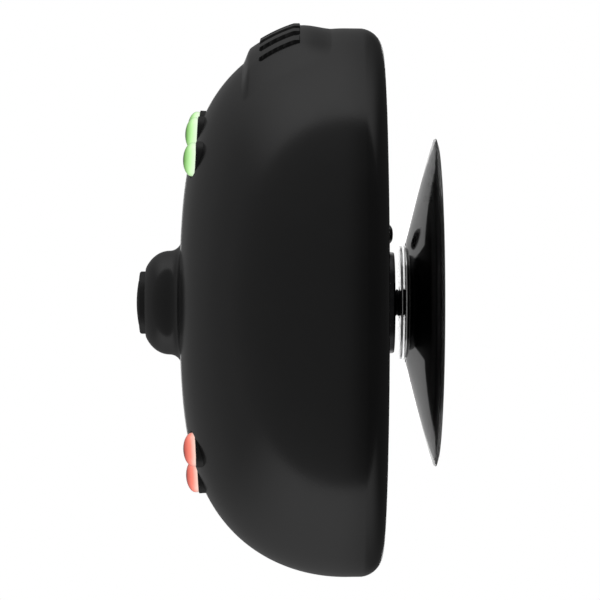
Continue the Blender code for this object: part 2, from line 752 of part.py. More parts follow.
def make_ring_key(parent, mats):
    """A ring with a flange under the hub's shelf and two legs to its switches."""
    front = HUB_FRONT - KEY_RING_PROUD
    flange_front = hub_key_shelf() + GAP
    flange_back = flange_front + KEY_FLANGE_THICKNESS
    hole = KEY_CENTRE_RADIUS + GAP
    flange_radius = KEY_RING_RADIUS + KEY_RING_FLANGE
    outline = [
        (hole, flange_back),
        (flange_radius, flange_back),
        (flange_radius, flange_front),
        (KEY_RING_RADIUS, flange_front),
        (KEY_RING_RADIUS, front + KEY_CHAMFER),
        (KEY_RING_RADIUS - KEY_CHAMFER, front),
        (hole, front),
    ]
    ring = add_object("ring_key", lathe(outline, PIECE_SIDES, closed=True), parent, mats["key"])
    legs = []
    for side in (-1, 1):
        leg = disc(KEY_LEG_RADIUS, key_rest(), flange_back - KEY_FLANGE_THICKNESS / 2, SMALL_SIDES)
        place = Matrix.Translation((side * leg_offset(), 0, 0))
        legs.append(moved(leg, place))
    boolean(ring, add_object("ring_key_legs", merged(legs)), "UNION")


def leg_offset():
    """Half the distance between the ring key's legs, inside the edge of its flange."""
    return KEY_RING_RADIUS + KEY_RING_FLANGE - KEY_LEG_RADIUS - KEY_LEG_INSET


def make_centre_key(parent, mats):
    """A crowned button with a flange behind the ring key and a stem to its switch."""
    edge = HUB_FRONT - KEY_RING_PROUD - KEY_CENTRE_PROUD + KEY_CENTRE_CROWN
    ring_back = hub_key_shelf() + GAP + KEY_FLANGE_THICKNESS
    flange_front = ring_back + KEY_TRAVEL + GAP
    flange_back = flange_front + KEY_FLANGE_THICKNESS
    flange_radius = leg_offset() - KEY_LEG_RADIUS - GAP
    outline = [
        (0, key_rest()),
        (KEY_STEM_RADIUS, key_rest()),
        (KEY_STEM_RADIUS, flange_back),
        (flange_radius, flange_back),
        (flange_radius, flange_front),
        (KEY_CENTRE_RADIUS, flange_front),
        (KEY_CENTRE_RADIUS, edge + KEY_CHAMFER),
        (KEY_CENTRE_RADIUS * 0.93, edge),
        (KEY_CENTRE_RADIUS * 0.6, edge - KEY_CENTRE_CROWN * 0.7),
        (0, edge - KEY_CENTRE_CROWN),
    ]
    add_object("centre_key", lathe(outline, PIECE_SIDES), parent, mats["key"])


def make_switch(name, x, parent, mats):
    """A small square push switch on the lamp board, with its plunger towards the keys."""
    back = LAMP_BOARD_FRONT - GAP
    centre = (x, back - SWITCH_HEIGHT / 2, 0)
    body = add_object(name, box((SWITCH_SIDE, SWITCH_HEIGHT, SWITCH_SIDE), centre), parent,
                      mats["chip"], smooth=False)
    plunger = disc(SWITCH_PLUNGER_RADIUS, back - SWITCH_HEIGHT / 2, switch_top(), SMALL_SIDES)
    guide = add_object(name + "_plunger", moved(plunger, Matrix.Translation((x, 0, 0))))
    boolean(body, guide, "UNION")


def make_switches(parent, mats):
    make_switch("centre_switch", 0.0, parent, mats)
    make_switch("left_switch", -leg_offset(), parent, mats)
    make_switch("right_switch", leg_offset(), parent, mats)


# ---------------------------------------------------------------- boards and electronics

def notches(back, front):
    """Clearance round the screw bosses, cut right through a board."""
    shapes = []
    radius = SCREW_BOSS_RADIUS + BOARD_NOTCH_CLEARANCE
    for degrees in SCREW_ANGLES:
        shape = disc(radius, back + PASS, front - PASS, SMALL_SIDES)
        shapes.append(moved(shape, Matrix.Translation(on_circle(SCREW_CIRCLE, degrees))))
    return merged(shapes)


def make_boards(parent, mats):
    """The lamp board behind the face and the main board behind it, notched for the bosses."""
    for name, radius, back, front in (
        ("lamp_board", LAMP_BOARD_RADIUS, LAMP_BOARD_BACK, LAMP_BOARD_FRONT),
        ("main_board", MAIN_BOARD_RADIUS, MAIN_BOARD_BACK, MAIN_BOARD_FRONT),
    ):
        board = add_object(name, disc(radius, back, front, BODY_SIDES), parent, mats["board"])
        boolean(board, add_object(name + "_notches", notches(back, front)))


def make_spacers(parent, mats):
    for number, degrees in enumerate(SPACER_ANGLES, start=1):
        shape = disc(SPACER_RADIUS, MAIN_BOARD_FRONT - GAP, LAMP_BOARD_BACK + GAP, 6)
        spacer = add_object(f"board_spacer_{number}", shape, parent, mats["brass"], smooth=False)
        spacer.location = on_circle(SPACER_CIRCLE, degrees)


def make_chips(parent, mats):
    """The board-to-board header, the processor and the screened microwave circuit."""
    header_width, header_depth = HEADER_SIZE
    header_size = (header_width, BOARD_SPACING - 2 * GAP, header_depth)
    header_centre = (0, LAMP_BOARD_BACK + BOARD_SPACING / 2, HEADER_CENTRE_Z)
    add_object("board_header", box(header_size, header_centre), parent, mats["chip"], smooth=False)
    chip_y = MAIN_BOARD_FRONT - GAP - PROCESSOR_SIZE[1] / 2
    add_object("processor", box(PROCESSOR_SIZE, (0, chip_y, PROCESSOR_CENTRE_Z)),
               parent, mats["chip"], smooth=False)
    can_y = MAIN_BOARD_BACK + GAP + SHIELD_CAN_SIZE[1] / 2
    add_object("shield_can", box(SHIELD_CAN_SIZE, (SHIELD_CAN_CENTRE_X, can_y, 0)),
               parent, mats["cast"], smooth=False)


def make_horn(parent, mats):
    """The cast microwave horn: a short throat that flares to a mouth behind the cover."""
    back_end = MAIN_BOARD_BACK + GAP
    mouth_y = COVER_INSIDE - GAP * 2
    throat_y = back_end + HORN_THROAT_LENGTH
    outer = [(HORN_THROAT, back_end), (HORN_THROAT, throat_y), (HORN_MOUTH, mouth_y)]
    inner = [(HORN_MOUTH, mouth_y), (HORN_THROAT, throat_y), (HORN_THROAT, back_end + HORN_WALL)]
    shape = bmesh.new()
    rings = []
    for sections, grow in ((outer, HORN_WALL), (inner, 0.0)):
        for (width, height), y in sections:
            half_x = width / 2 + grow
            half_z = height / 2 + grow
            corners = ((-half_x, -half_z), (half_x, -half_z), (half_x, half_z), (-half_x, half_z))
            rings.append([shape.verts.new((x, y, HORN_CENTRE_Z + z)) for x, z in corners])
    for ring, following in zip(rings, rings[1:]):
        for index in range(4):
            after = (index + 1) % 4
            shape.faces.new((ring[index], ring[after], following[after], following[index]))
    shape.faces.new(rings[0])
    shape.faces.new(rings[-1])
    add_object("horn_antenna", shape, parent, mats["cast"], smooth=False)


def make_speaker(parent, mats):
    """A small round speaker that faces the slots in the cover."""
    front = COVER_INSIDE - GAP
    cone = [(SPEAKER_RADIUS * share, front - depth) for share, depth in SPEAKER_CONE]
    outline = [(0, front - SPEAKER_CONE_DEPTH)] + cone + [
        (SPEAKER_RADIUS, front),
        (SPEAKER_RADIUS, front - SPEAKER_EDGE),
        (SPEAKER_MAGNET_RADIUS, front - SPEAKER_BASKET_DEPTH),
        (SPEAKER_MAGNET_RADIUS, front - SPEAKER_DEPTH),
        (0, front - SPEAKER_DEPTH),
    ]
    speaker = add_object("speaker", lathe(outline, PIECE_SIDES), parent, mats["paper"])
    speaker.location = (0, 0, SPEAKER_CENTRE_Z)


def make_laser_sensor(parent, mats):
    """The dark lens in the cover and the photodiode block on the main board behind it."""
    flange = LASER_LENS_RADIUS + LASER_FLANGE_WIDTH
    inside = COVER_INSIDE - GAP
    outline = [
        (0, inside - LASER_FLANGE_THICKNESS),
        (flange, inside - LASER_FLANGE_THICKNESS),
        (flange, inside),
        (LASER_LENS_RADIUS, inside),
    ]
    for step in range(LENS_STEPS):
        angle = math.radians(90 * step / LENS_STEPS)
        rise = LASER_LENS_PROUD * math.sin(angle)
        outline.append((LASER_LENS_RADIUS * math.cos(angle) ** LASER_BLUNTNESS, BODY_BACK + rise))
    outline.append((0, BODY_BACK + LASER_LENS_PROUD))
    lens = add_object("laser_lens", lathe(outline, SMALL_SIDES), parent, mats["filter"])
    lens.location = (0, 0, LASER_CENTRE_Z)
    width, height, depth = LASER_SENSOR_SIZE
    centre = (0, MAIN_BOARD_BACK + GAP + height / 2, LASER_CENTRE_Z)
    add_object("laser_sensor", box((width, height, depth), centre), parent, mats["chip"],
               smooth=False)


def make_power_socket(parent, mats):
    """The power inlet: a block on the main board with a barrel through the shell's side."""
    width, height, depth = POWER_BODY
    centre = (POWER_BODY_INNER_X - width / 2, power_y(), 0)
    body = add_object("power_socket", box((width, height, depth), centre), parent,
                      mats["chip"], smooth=False)
    outer_x = -BODY_RADIUS + POWER_MOUTH_INSET
    barrel = power_barrel(POWER_BARREL_RADIUS, POWER_BODY_INNER_X - width / 2, outer_x)
    boolean(body, add_object("inlet_barrel", barrel), "UNION")
    bore = power_barrel(POWER_BORE_RADIUS, outer_x + POWER_BORE_DEPTH, outer_x - PASS, SMALL_SIDES)
    boolean(body, add_object("inlet_bore", bore))


# ---------------------------------------------------------------- the whole device

def main():
    clear_scene()
    mats = make_materials()
    cup = group("cup")
    nut = group("nut", cup)
    head = group("head", cup)
    make_cup(cup, mats)
    make_stud(cup, mats)
    make_discs(cup, mats)
    make_lock_nut(nut, mats)
    make_shell(head, mats)
    make_cover(head, mats)
    make_insert(head, mats)
    make_screws(head, mats)
    make_lamps(head, mats)
    make_boards(head, mats)
    make_spacers(head, mats)
    make_chips(head, mats)
    make_switches(head, mats)
    make_horn(head, mats)
    make_speaker(head, mats)
    make_laser_sensor(head, mats)
    make_power_socket(head, mats)
    make_ring_key(head, mats)
    make_centre_key(head, mats)


main()
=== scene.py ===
# %% [markdown]
# # A windscreen radar detector
# The real object is a round plastic housing, about 84 mm across. It hangs on a threaded stud and a
# black suction cup, and shows its warnings with domed lamps on the front. The mechanical model
# gives every piece its place. This file remodels the pieces that show with finer shapes, gives
# each one a finish, and lights them softly.
# The axis of every turned piece is y. The windscreen is the plane y = 0, the face looks along -y,
# and +z is up. Everything is in metres.

# %% Load the mechanical model
import math

import bmesh
import bpy
from mathutils import Matrix, Vector


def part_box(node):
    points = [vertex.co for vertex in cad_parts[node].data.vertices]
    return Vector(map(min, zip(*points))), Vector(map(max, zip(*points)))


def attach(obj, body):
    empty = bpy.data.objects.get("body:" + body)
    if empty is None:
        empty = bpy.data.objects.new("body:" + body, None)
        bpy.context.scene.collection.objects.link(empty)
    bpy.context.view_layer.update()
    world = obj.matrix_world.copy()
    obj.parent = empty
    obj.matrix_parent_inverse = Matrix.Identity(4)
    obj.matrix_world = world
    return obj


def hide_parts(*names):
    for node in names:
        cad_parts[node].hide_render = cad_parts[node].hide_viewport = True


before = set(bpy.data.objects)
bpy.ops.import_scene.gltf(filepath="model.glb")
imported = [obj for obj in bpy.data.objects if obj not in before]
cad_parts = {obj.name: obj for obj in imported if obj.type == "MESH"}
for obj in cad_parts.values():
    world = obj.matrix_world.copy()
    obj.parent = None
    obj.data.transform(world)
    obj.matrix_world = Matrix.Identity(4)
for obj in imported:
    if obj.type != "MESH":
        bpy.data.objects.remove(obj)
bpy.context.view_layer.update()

# %% [markdown]
# ## Sizes
# The boxes of the mechanical nodes say how large the housing, the keys and the discs are, so a
# finer piece lands exactly where the plain one was.

# %% Main sizes from the boxes of the nodes
MM = 0.001
GAP = 0.3 * MM
WELD_DISTANCE = 0.002 * MM
shell_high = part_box("front_shell")[1]
BODY_RADIUS = shell_high[0]
BODY_TOP = shell_high[2]
BODY_BACK = shell_high[1]
RIM_DEPTH = 5.8 * MM
WIDEST = BODY_BACK - RIM_DEPTH
DOME_DEPTH = 25 * MM
DOME_FULLNESS = 3.5
FACE = WIDEST - DOME_DEPTH
WALL = 2 * MM
CORNER_RADIUS = 3.7 * MM
COVER_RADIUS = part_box("back_cover")[1][0]
OPENING_RADIUS = COVER_RADIUS + GAP
COVER_THICKNESS = 2.4 * MM
COVER_INSIDE = BODY_BACK - COVER_THICKNESS
print("housing radius", round(BODY_RADIUS / MM, 2), "mm, face at", round(FACE / MM, 2), "mm")

# %% [markdown]
# ## Turning a piece
# Most pieces are round, so they are made as on a lathe. A plane is merged to a single point, the
# point is extruded along the outline, and the outline is spun about the y axis. A cylinder cut by
# booleans would need many cuts for the same curves, and a modifier would keep the mesh live.

# %% A lathe from a point, extrude and spin
def nothing_selected():
    if bpy.context.object and bpy.context.object.mode != "OBJECT":
        bpy.ops.object.mode_set(mode="OBJECT")
    bpy.ops.object.select_all(action="DESELECT")


def smoothed(piece, degrees):
    """Shade a piece smooth, with its edges over an angle kept sharp."""
    nothing_selected()
    piece.select_set(True)
    bpy.context.view_layer.objects.active = piece
    bpy.ops.object.shade_smooth_by_angle(angle=math.radians(degrees))


def turned(name, outline, steps, closed=False, sharp=32, sweep=math.tau):
    """Spin an outline of (radius, y) points about the y axis into one closed piece."""
    nothing_selected()
    bpy.ops.mesh.primitive_plane_add(size=MM)
    piece = bpy.context.object
    piece.name = name
    bpy.ops.object.mode_set(mode="EDIT")
    bpy.ops.mesh.select_mode(type="VERT")
    bpy.ops.mesh.select_all(action="SELECT")
    bpy.ops.mesh.merge(type="CENTER")
    bpy.ops.transform.translate(value=(outline[0][0], outline[0][1], 0))
    path = list(outline) + ([outline[0]] if closed else [])
    for (radius, y), (next_radius, next_y) in zip(path, path[1:]):
        step = (next_radius - radius, next_y - y, 0)
        bpy.ops.mesh.extrude_region_move(TRANSFORM_OT_translate={"value": step})
    bpy.ops.mesh.select_all(action="SELECT")
    bpy.ops.mesh.spin(steps=steps, angle=sweep, center=(0, 0, 0), axis=(0, 1, 0))
    bpy.ops.mesh.select_all(action="SELECT")
    bpy.ops.mesh.remove_doubles(threshold=WELD_DISTANCE)
    bpy.ops.mesh.normals_make_consistent(inside=False)
    bpy.ops.object.mode_set(mode="OBJECT")
    smoothed(piece, sharp)
    return piece


# %% Rounded corners for an outline
def rounded(corners, steps=4):
    """Replace each (radius, y, rounding) corner by an arc that touches both of its sides."""
    points = []
    count = len(corners)
    for index, (radius, y, rounding) in enumerate(corners):
        here = Vector((radius, y))
        if rounding <= 0:
            points.append((radius, y))
            continue
        before = (Vector(corners[index - 1][:2]) - here).normalized()
        after = (Vector(corners[(index + 1) % count][:2]) - here).normalized()
        half = before.angle(after) / 2
        centre = here + (before + after).normalized() * rounding / math.sin(half)
        first = here + before * rounding / math.tan(half) - centre
        last = here + after * rounding / math.tan(half) - centre
        sweep = first.angle_signed(last)
        for step in range(steps + 1):
            turn = Matrix.Rotation(-sweep * step / steps, 2)
            point = centre + turn @ first
            points.append((point.x, point.y))
    return points


# %% Copies, placing and cutting
def placed(piece, matrix):
    """Put a piece's place into its mesh, so that its object stays at the origin."""
    nothing_selected()
    piece.select_set(True)
    bpy.context.view_layer.objects.active = piece
    piece.matrix_world = matrix
    bpy.ops.object.transform_apply(location=True, rotation=True, scale=True)
    return piece


def copied(piece, name):
    """A copy with a mesh of its own."""
    twin = piece.copy()
    twin.data = piece.data.copy()
    twin.name = name
    bpy.context.collection.objects.link(twin)
    return twin


def cut(piece, tool, operation="DIFFERENCE"):
    """Cut a tool out of a piece, or join it on, and remove the tool."""
    nothing_selected()
    bpy.context.view_layer.objects.active = piece
    step = piece.modifiers.new("cut", "BOOLEAN")
    step.object = tool
    step.operation = operation
    step.solver = "EXACT"
    bpy.ops.object.modifier_apply(modifier=step.name)
    bpy.data.objects.remove(tool, do_unlink=True)


def block(name, size, centre, bevel=0.0):
    """A box with rounded edges, made in edit mode."""
    nothing_selected()
    bpy.ops.mesh.primitive_cube_add(size=1)
    piece = bpy.context.object
    piece.name = name
    bpy.ops.object.mode_set(mode="EDIT")
    bpy.ops.mesh.select_all(action="SELECT")
    bpy.ops.transform.resize(value=size)
    bpy.ops.transform.translate(value=centre)
    if bevel:
        bpy.ops.mesh.bevel(offset=bevel, segments=3, affect="EDGES")
    bpy.ops.object.mode_set(mode="OBJECT")
    return piece


def on_circle(radius, degrees, y=0.0):
    angle = math.radians(degrees)
    return Vector((radius * math.cos(angle), y, radius * math.sin(angle)))


# %% [markdown]
# ## Finishes
# Each finish is one Principled shader with its own procedural detail, read from object
# coordinates, so the grain keeps its real size on every piece. A noise changes the roughness in
# patches, as handling does, and a finer noise drives the bump of the moulded grain.

# %% A base for every finish
def finish(name, colour, roughness, metallic=0.0, **settings):
    """A new material with a Principled shader; further sockets are set by their names."""
    material = bpy.data.materials.new(name)
    material.use_nodes = True
    shader = material.node_tree.nodes["Principled BSDF"]
    shader.inputs["Base Color"].default_value = (*colour, 1)
    shader.inputs["Roughness"].default_value = roughness
    shader.inputs["Metallic"].default_value = metallic
    for socket, value in settings.items():
        shader.inputs[socket.replace("_", " ")].default_value = value
    return material


def noise(material, scale, detail=2.0, stretch=(1, 1, 1)):
    """A noise on object coordinates, with the number of its waves per metre as its scale."""
    nodes, links = material.node_tree.nodes, material.node_tree.links
    place = nodes.new("ShaderNodeTexCoord")
    mapping = nodes.new("ShaderNodeMapping")
    mapping.inputs["Scale"].default_value = stretch
    texture = nodes.new("ShaderNodeTexNoise")
    texture.inputs["Scale"].default_value = scale
    texture.inputs["Detail"].default_value = detail
    links.new(place.outputs["Object"], mapping.inputs["Vector"])
    links.new(mapping.outputs["Vector"], texture.inputs["Vector"])
    return texture.outputs["Fac"]


def spread(material, source, low, high, start=0.3, end=0.7):
    """Carry a value from its range start..end over to low..high."""
    node = material.node_tree.nodes.new("ShaderNodeMapRange")
    node.inputs["From Min"].default_value = start
    node.inputs["From Max"].default_value = end
    node.inputs["To Min"].default_value = low
    node.inputs["To Max"].default_value = high
    material.node_tree.links.new(source, node.inputs["Value"])
    return node.outputs["Result"]


def ramp_node(tree, stops):
    """A colour ramp node with (position, colour) stops."""
    node = tree.nodes.new("ShaderNodeValToRGB")
    elements = node.color_ramp.elements
    while len(elements) < len(stops):
        elements.new(0.5)
    for element, (position, colour) in zip(elements, stops):
        element.position = position
        element.color = (*colour, 1)
    return node


def ramp(material, source, stops):
    """Colour a value from 0 to 1 by (position, colour) stops."""
    node = ramp_node(material.node_tree, stops)
    material.node_tree.links.new(source, node.inputs["Fac"])
    return node.outputs["Color"]


def to_shader(material, source, socket):
    shader = material.node_tree.nodes["Principled BSDF"]
    material.node_tree.links.new(source, shader.inputs[socket])


def grain(material, source, depth):
    """Bump by a height source, with its depth in metres."""
    node = material.node_tree.nodes.new("ShaderNodeBump")
    node.inputs["Strength"].default_value = 1.0
    node.inputs["Distance"].default_value = depth
    material.node_tree.links.new(source, node.inputs["Height"])
    to_shader(material, node.outputs["Normal"], "Normal")


# %% Moulded plastics
COLOUR_PATCHES = 90
GLOSS_PATCHES = 240


def moulded(name, dark, light, rough_low, rough_high, grain_scale, grain_depth):
    """Plastic with slightly mottled colour, uneven gloss and a fine moulded grain."""
    material = finish(name, dark, rough_low)
    patches = noise(material, COLOUR_PATCHES, 3)
    to_shader(material, ramp(material, patches, [(0.35, dark), (0.65, light)]), "Base Color")
    gloss = spread(material, noise(material, GLOSS_PATCHES, 4), rough_low, rough_high)
    to_shader(material, gloss, "Roughness")
    grain(material, noise(material, grain_scale, 2), grain_depth)
    return material


satin_charcoal = moulded("satin_charcoal", (0.015, 0.015, 0.0155), (0.018, 0.018, 0.0185),
                         0.17, 0.2, 5200, 0.003 * MM)
# The sockets are the housing's plastic; their darker colour is painted shade on their sides.
socket_painted_shade = moulded("socket_painted_shade", (0.006, 0.006, 0.0065), (0.008, 0.008, 0.0085),
                       0.4, 0.5, 6000, 0.006 * MM)
key_rubber = moulded("key_rubber", (0.011, 0.011, 0.0115), (0.014, 0.014, 0.0145),
                     0.42, 0.52, 7000, 0.008 * MM)
cover_plastic = moulded("cover_plastic", (0.009, 0.009, 0.0095), (0.011, 0.011, 0.0115),
                        0.4, 0.5, 3600, 0.02 * MM)
chip_plastic = moulded("chip_plastic", (0.018, 0.018, 0.019), (0.024, 0.024, 0.025),
                       0.45, 0.6, 4000, 0.01 * MM)


# %% Metals
METAL_CLOUDS = 300
METAL_MARKS = 2600


def metal(name, dark, light, rough_low, rough_high, stretch=(1, 1, 1), depth=0.003 * MM):
    """Metal with a fine drawn or cast texture and slightly cloudy colour."""
    material = finish(name, dark, rough_low, metallic=1.0)
    clouds = noise(material, METAL_CLOUDS, 3)
    to_shader(material, ramp(material, clouds, [(0.3, dark), (0.7, light)]), "Base Color")
    marks = noise(material, METAL_MARKS, 3, stretch)
    to_shader(material, spread(material, marks, rough_low, rough_high), "Roughness")
    grain(material, marks, depth)
    return material


chrome_plate = metal("chrome_plate", (0.68, 0.68, 0.68), (0.78, 0.78, 0.78), 0.1, 0.2,
                     (0.4, 6, 0.4))
black_steel = metal("black_steel", (0.03, 0.03, 0.032), (0.06, 0.06, 0.062), 0.24, 0.36)
brass_turned = metal("brass_turned", (0.55, 0.38, 0.14), (0.68, 0.5, 0.2), 0.2, 0.34,
                     (0.5, 5, 0.5))
cast_zinc = metal("cast_zinc", (0.42, 0.42, 0.43), (0.56, 0.56, 0.57), 0.35, 0.55,
                  (1, 1, 1), 0.01 * MM)

# %% Circuit board, speaker cone and emitters
board_green = finish("board_green", (0.01, 0.09, 0.035), 0.35)
to_shader(board_green, ramp(board_green, noise(board_green, 900, 4, (1, 0.2, 1)),
                            [(0.42, (0.006, 0.06, 0.022)), (0.5, (0.012, 0.12, 0.045)),
                             (0.62, (0.006, 0.07, 0.028))]), "Base Color")
grain(board_green, noise(board_green, 1800, 2), 0.01 * MM)

cone_paper = finish("cone_paper", (0.035, 0.034, 0.032), 0.85)
grain(cone_paper, noise(cone_paper, 3000, 6), 0.04 * MM)
to_shader(cone_paper, spread(cone_paper, noise(cone_paper, 800, 3), 0.75, 0.95), "Roughness")

emitter_clear = finish("emitter_clear", (0.75, 0.74, 0.62), 0.25)
to_shader(emitter_clear, spread(emitter_clear, noise(emitter_clear, 1500, 2), 0.2, 0.35),
          "Roughness")

infrared_filter = finish("infrared_filter", (0.006, 0.003, 0.005), 0.08, Coat_Weight=0.6)
to_shader(infrared_filter, spread(infrared_filter, noise(infrared_filter, 500, 2), 0.06, 0.12),
          "Roughness")

# %% [markdown]
# ## Suction cup vinyl
# The cup is soft glossy vinyl. It's black where it is thick, and its thin feather edge lets the
# light through, so the edge reads as a pale line. The colour is picked by the distance from the
# axis, which is the length of the object coordinates with y left out.

# %% Glossy vinyl with a pale feather edge
def distance_from_axis(material):
    nodes, links = material.node_tree.nodes, material.node_tree.links
    place = nodes.new("ShaderNodeTexCoord")
    flat = nodes.new("ShaderNodeVectorMath")
    flat.operation = "MULTIPLY"
    flat.inputs[1].default_value = (1, 0, 1)
    length = nodes.new("ShaderNodeVectorMath")
    length.operation = "LENGTH"
    links.new(place.outputs["Object"], flat.inputs[0])
    links.new(flat.outputs["Vector"], length.inputs[0])
    return length.outputs["Value"]


cup_low, cup_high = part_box("suction_cup")
CUP_RADIUS = cup_high[0]
VINYL_BLACK = (0.0025, 0.0025, 0.0025)
PALE_FROM = CUP_RADIUS - 3.6 * MM
PALE_TO = CUP_RADIUS - 0.6 * MM
CLEAR_TO = CUP_RADIUS - 1.2 * MM
cup_vinyl = finish("cup_vinyl", VINYL_BLACK, 0.07)
edge_share = spread(cup_vinyl, distance_from_axis(cup_vinyl), 0, 1, PALE_FROM, PALE_TO)
to_shader(cup_vinyl, ramp(cup_vinyl, edge_share, [(0.0, VINYL_BLACK), (0.5, (0.25, 0.25, 0.25)),
                                                  (1.0, (0.7, 0.7, 0.7))]), "Base Color")
to_shader(cup_vinyl, spread(cup_vinyl, distance_from_axis(cup_vinyl), 0, 0.95, PALE_FROM,
                            CLEAR_TO), "Transmission Weight")
to_shader(cup_vinyl, spread(cup_vinyl, noise(cup_vinyl, 160, 3), 0.05, 0.12), "Roughness")
grain(cup_vinyl, noise(cup_vinyl, 90, 2), 0.004 * MM)


# %% [markdown]
# ## Lamp lenses
# A lens is a cap of tinted, slightly cloudy plastic with a light behind it, and it glows as a
# lamp.
# Its colour carries painted light as well: a painted glow, palest at its base, where the light
# comes in, and painted shade that deepens towards the crown and the rim. Each lens carries an
# attribute "rise" that goes from 0 at its base to 1 at its crown, so that one material serves
# lenses that lean in different directions.

# %% Tinted lens plastic, with painted glow and painted shade in its colour
def lens_plastic(name, base_colour, middle_colour, crown_colour, glow):
    material = finish(name, middle_colour, 0.12, Coat_Weight=1.0, Coat_Roughness=0.04,
                      Emission_Strength=glow)
    rise = material.node_tree.nodes.new("ShaderNodeAttribute")
    rise.attribute_name = "rise"
    cloudy_rise = material.node_tree.nodes.new("ShaderNodeMath")
    cloudy_rise.operation = "MULTIPLY_ADD"
    cloudy_rise.inputs[1].default_value = 0.12
    material.node_tree.links.new(noise(material, 700, 3), cloudy_rise.inputs[0])
    material.node_tree.links.new(rise.outputs["Fac"], cloudy_rise.inputs[2])
    # The ramp paints a glow pale at the base and paints shade deepening to the crown and its tip;
    # the same colour drives the lamp's emission.
    shaded_tip_colour = tuple(channel * 0.35 for channel in crown_colour)
    glow_and_shade = ramp(material, cloudy_rise.outputs[0], [(0.06, base_colour), (0.45, middle_colour),
                                                   (0.88, crown_colour), (1.0, shaded_tip_colour)])
    to_shader(material, glow_and_shade, "Base Color")
    to_shader(material, glow_and_shade, "Emission Color")
    return material


green_plastic = lens_plastic("green_lens_plastic", (0.85, 1.0, 0.78), (0.56, 0.93, 0.43),
                             (0.16, 0.42, 0.08), 0.96)
red_plastic = lens_plastic("red_lens_plastic", (1.0, 0.72, 0.62), (0.98, 0.26, 0.19),
                           (0.55, 0.08, 0.055), 0.97)

# %% Riding and finishing in one step
def assemble(piece, body, slot, material, *nodes):
    """Give a piece its finish and its body, and hide the nodes that it stands for."""
    piece.data.materials.clear()
    piece.data.materials.append(material)
    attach(piece, body)
    for node in nodes:
        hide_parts(node)
    print(piece.name, len(piece.data.polygons), "faces on", body)
    return piece


# %% [markdown]
# ## Housing
# The housing is one moulded shell: a full dome that rolls over at the back into a narrow rim, and
# a round hub in front for the keys. The outline follows a superellipse, which is flatter in front
# and tighter at the side than a circle, as the real dome is.

# %% The outline of the dome
def dome_outline(radius, depth, first_radius, steps):
    """The dome's outline from a small radius to its widest circle."""
    first = math.asin((first_radius / radius) ** (DOME_FULLNESS / 2))
    points = []
    for step in range(steps + 1):
        angle = first + (math.pi / 2 - first) * step / steps
        share = math.sin(angle) ** (2 / DOME_FULLNESS)
        points.append((radius * share, WIDEST - depth * math.cos(angle)))
    return points


def arc(centre, radius, start, end, steps):
    points = []
    for step in range(steps + 1):
        angle = math.radians(start + (end - start) * step / steps)
        points.append((centre[0] + radius * math.cos(angle),
                       centre[1] + radius * math.sin(angle)))
    return points


# %% The housing shell
HUB_RADIUS = 8 * MM
HUB_FILLET = 1.8 * MM
HUB_HEIGHT = 6 * MM
HUB_START = 30
HUB_STEPS = 14
KEY_BORE_RADIUS = 5.1 * MM
KEY_CHAMBER_RADIUS = 6.3 * MM
KEY_SHELF = -43.3 * MM
HUB_CROWN_RADIUS = KEY_BORE_RADIUS * 0.55
LEDGE_WIDTH = 1.8 * MM
LEDGE_RADIUS = OPENING_RADIUS - LEDGE_WIDTH
LEDGE_FRONT = COVER_INSIDE - GAP - WALL
DOME_STEPS = 54
BODY_STEPS = 192


def hub_outline():
    """The hub from its key bore out to the fillet at its foot."""
    shoulder = FACE - HUB_FILLET
    points = []
    for step in range(HUB_STEPS + 1):
        angle = math.radians(HUB_START + (90 - HUB_START) * step / HUB_STEPS)
        points.append((HUB_CROWN_RADIUS + (HUB_RADIUS - HUB_CROWN_RADIUS) * math.sin(angle),
                       shoulder - (HUB_HEIGHT - HUB_FILLET) * math.cos(angle)))
    foot = arc((HUB_RADIUS + HUB_FILLET, shoulder), HUB_FILLET, 180, 100, 9)
    return points + foot[1:]


outside = hub_outline()
outside += dome_outline(BODY_RADIUS, DOME_DEPTH, HUB_RADIUS + HUB_FILLET * 1.6, DOME_STEPS)
corner = (BODY_RADIUS - CORNER_RADIUS, BODY_BACK - CORNER_RADIUS)
outside += arc(corner, CORNER_RADIUS, 0, 90, 12)[1:]
opening = rounded([
    (OPENING_RADIUS, BODY_BACK, 0),
    (OPENING_RADIUS, COVER_INSIDE - GAP, 0),
    (LEDGE_RADIUS, COVER_INSIDE - GAP, 0.2 * MM),
    (LEDGE_RADIUS, LEDGE_FRONT, 0.2 * MM),
    (BODY_RADIUS - WALL, LEDGE_FRONT, 0),
])
inside = dome_outline(BODY_RADIUS - WALL, DOME_DEPTH - WALL, KEY_CHAMBER_RADIUS, 24)[::-1]
chamber = [(KEY_CHAMBER_RADIUS, KEY_SHELF), (KEY_BORE_RADIUS, KEY_SHELF)]
LIP_DEPTH = 0.15 * MM
lip = (KEY_BORE_RADIUS, outside[0][1] + LIP_DEPTH)
housing = turned("housing_shell", outside + opening + inside + chamber + [lip], BODY_STEPS,
                 closed=True, sharp=35)
print("housing:", len(housing.data.polygons), "faces")

# %% [markdown]
# ## Seats for the lamps
# Nine lamps stand in a ring on the sloping face, five green above and four red below. Each one
# has a frame of its own: the origin on the lens base, and -y leaning a little outwards. The seats
# are cut with one stepped tool per lamp, wide for the cap and narrow for its stem. The nine tools
# are joined first, so that the shell is cut only once.

# %% Where the lamps stand
LAMP_CIRCLE = 26.85 * MM
LAMP_TILT = math.radians(3.3)
LAMP_BASE = FACE + 2.7 * MM
LENS_RADIUS = 2.5 * MM
LENS_HEIGHT = 1.8 * MM
STEM_RADIUS = 1.4 * MM
STEM_LENGTH = 4 * MM
LAMPS = {"green": (52, 71, 90, 109, 128), "red": (-54, -78, -102, -126)}


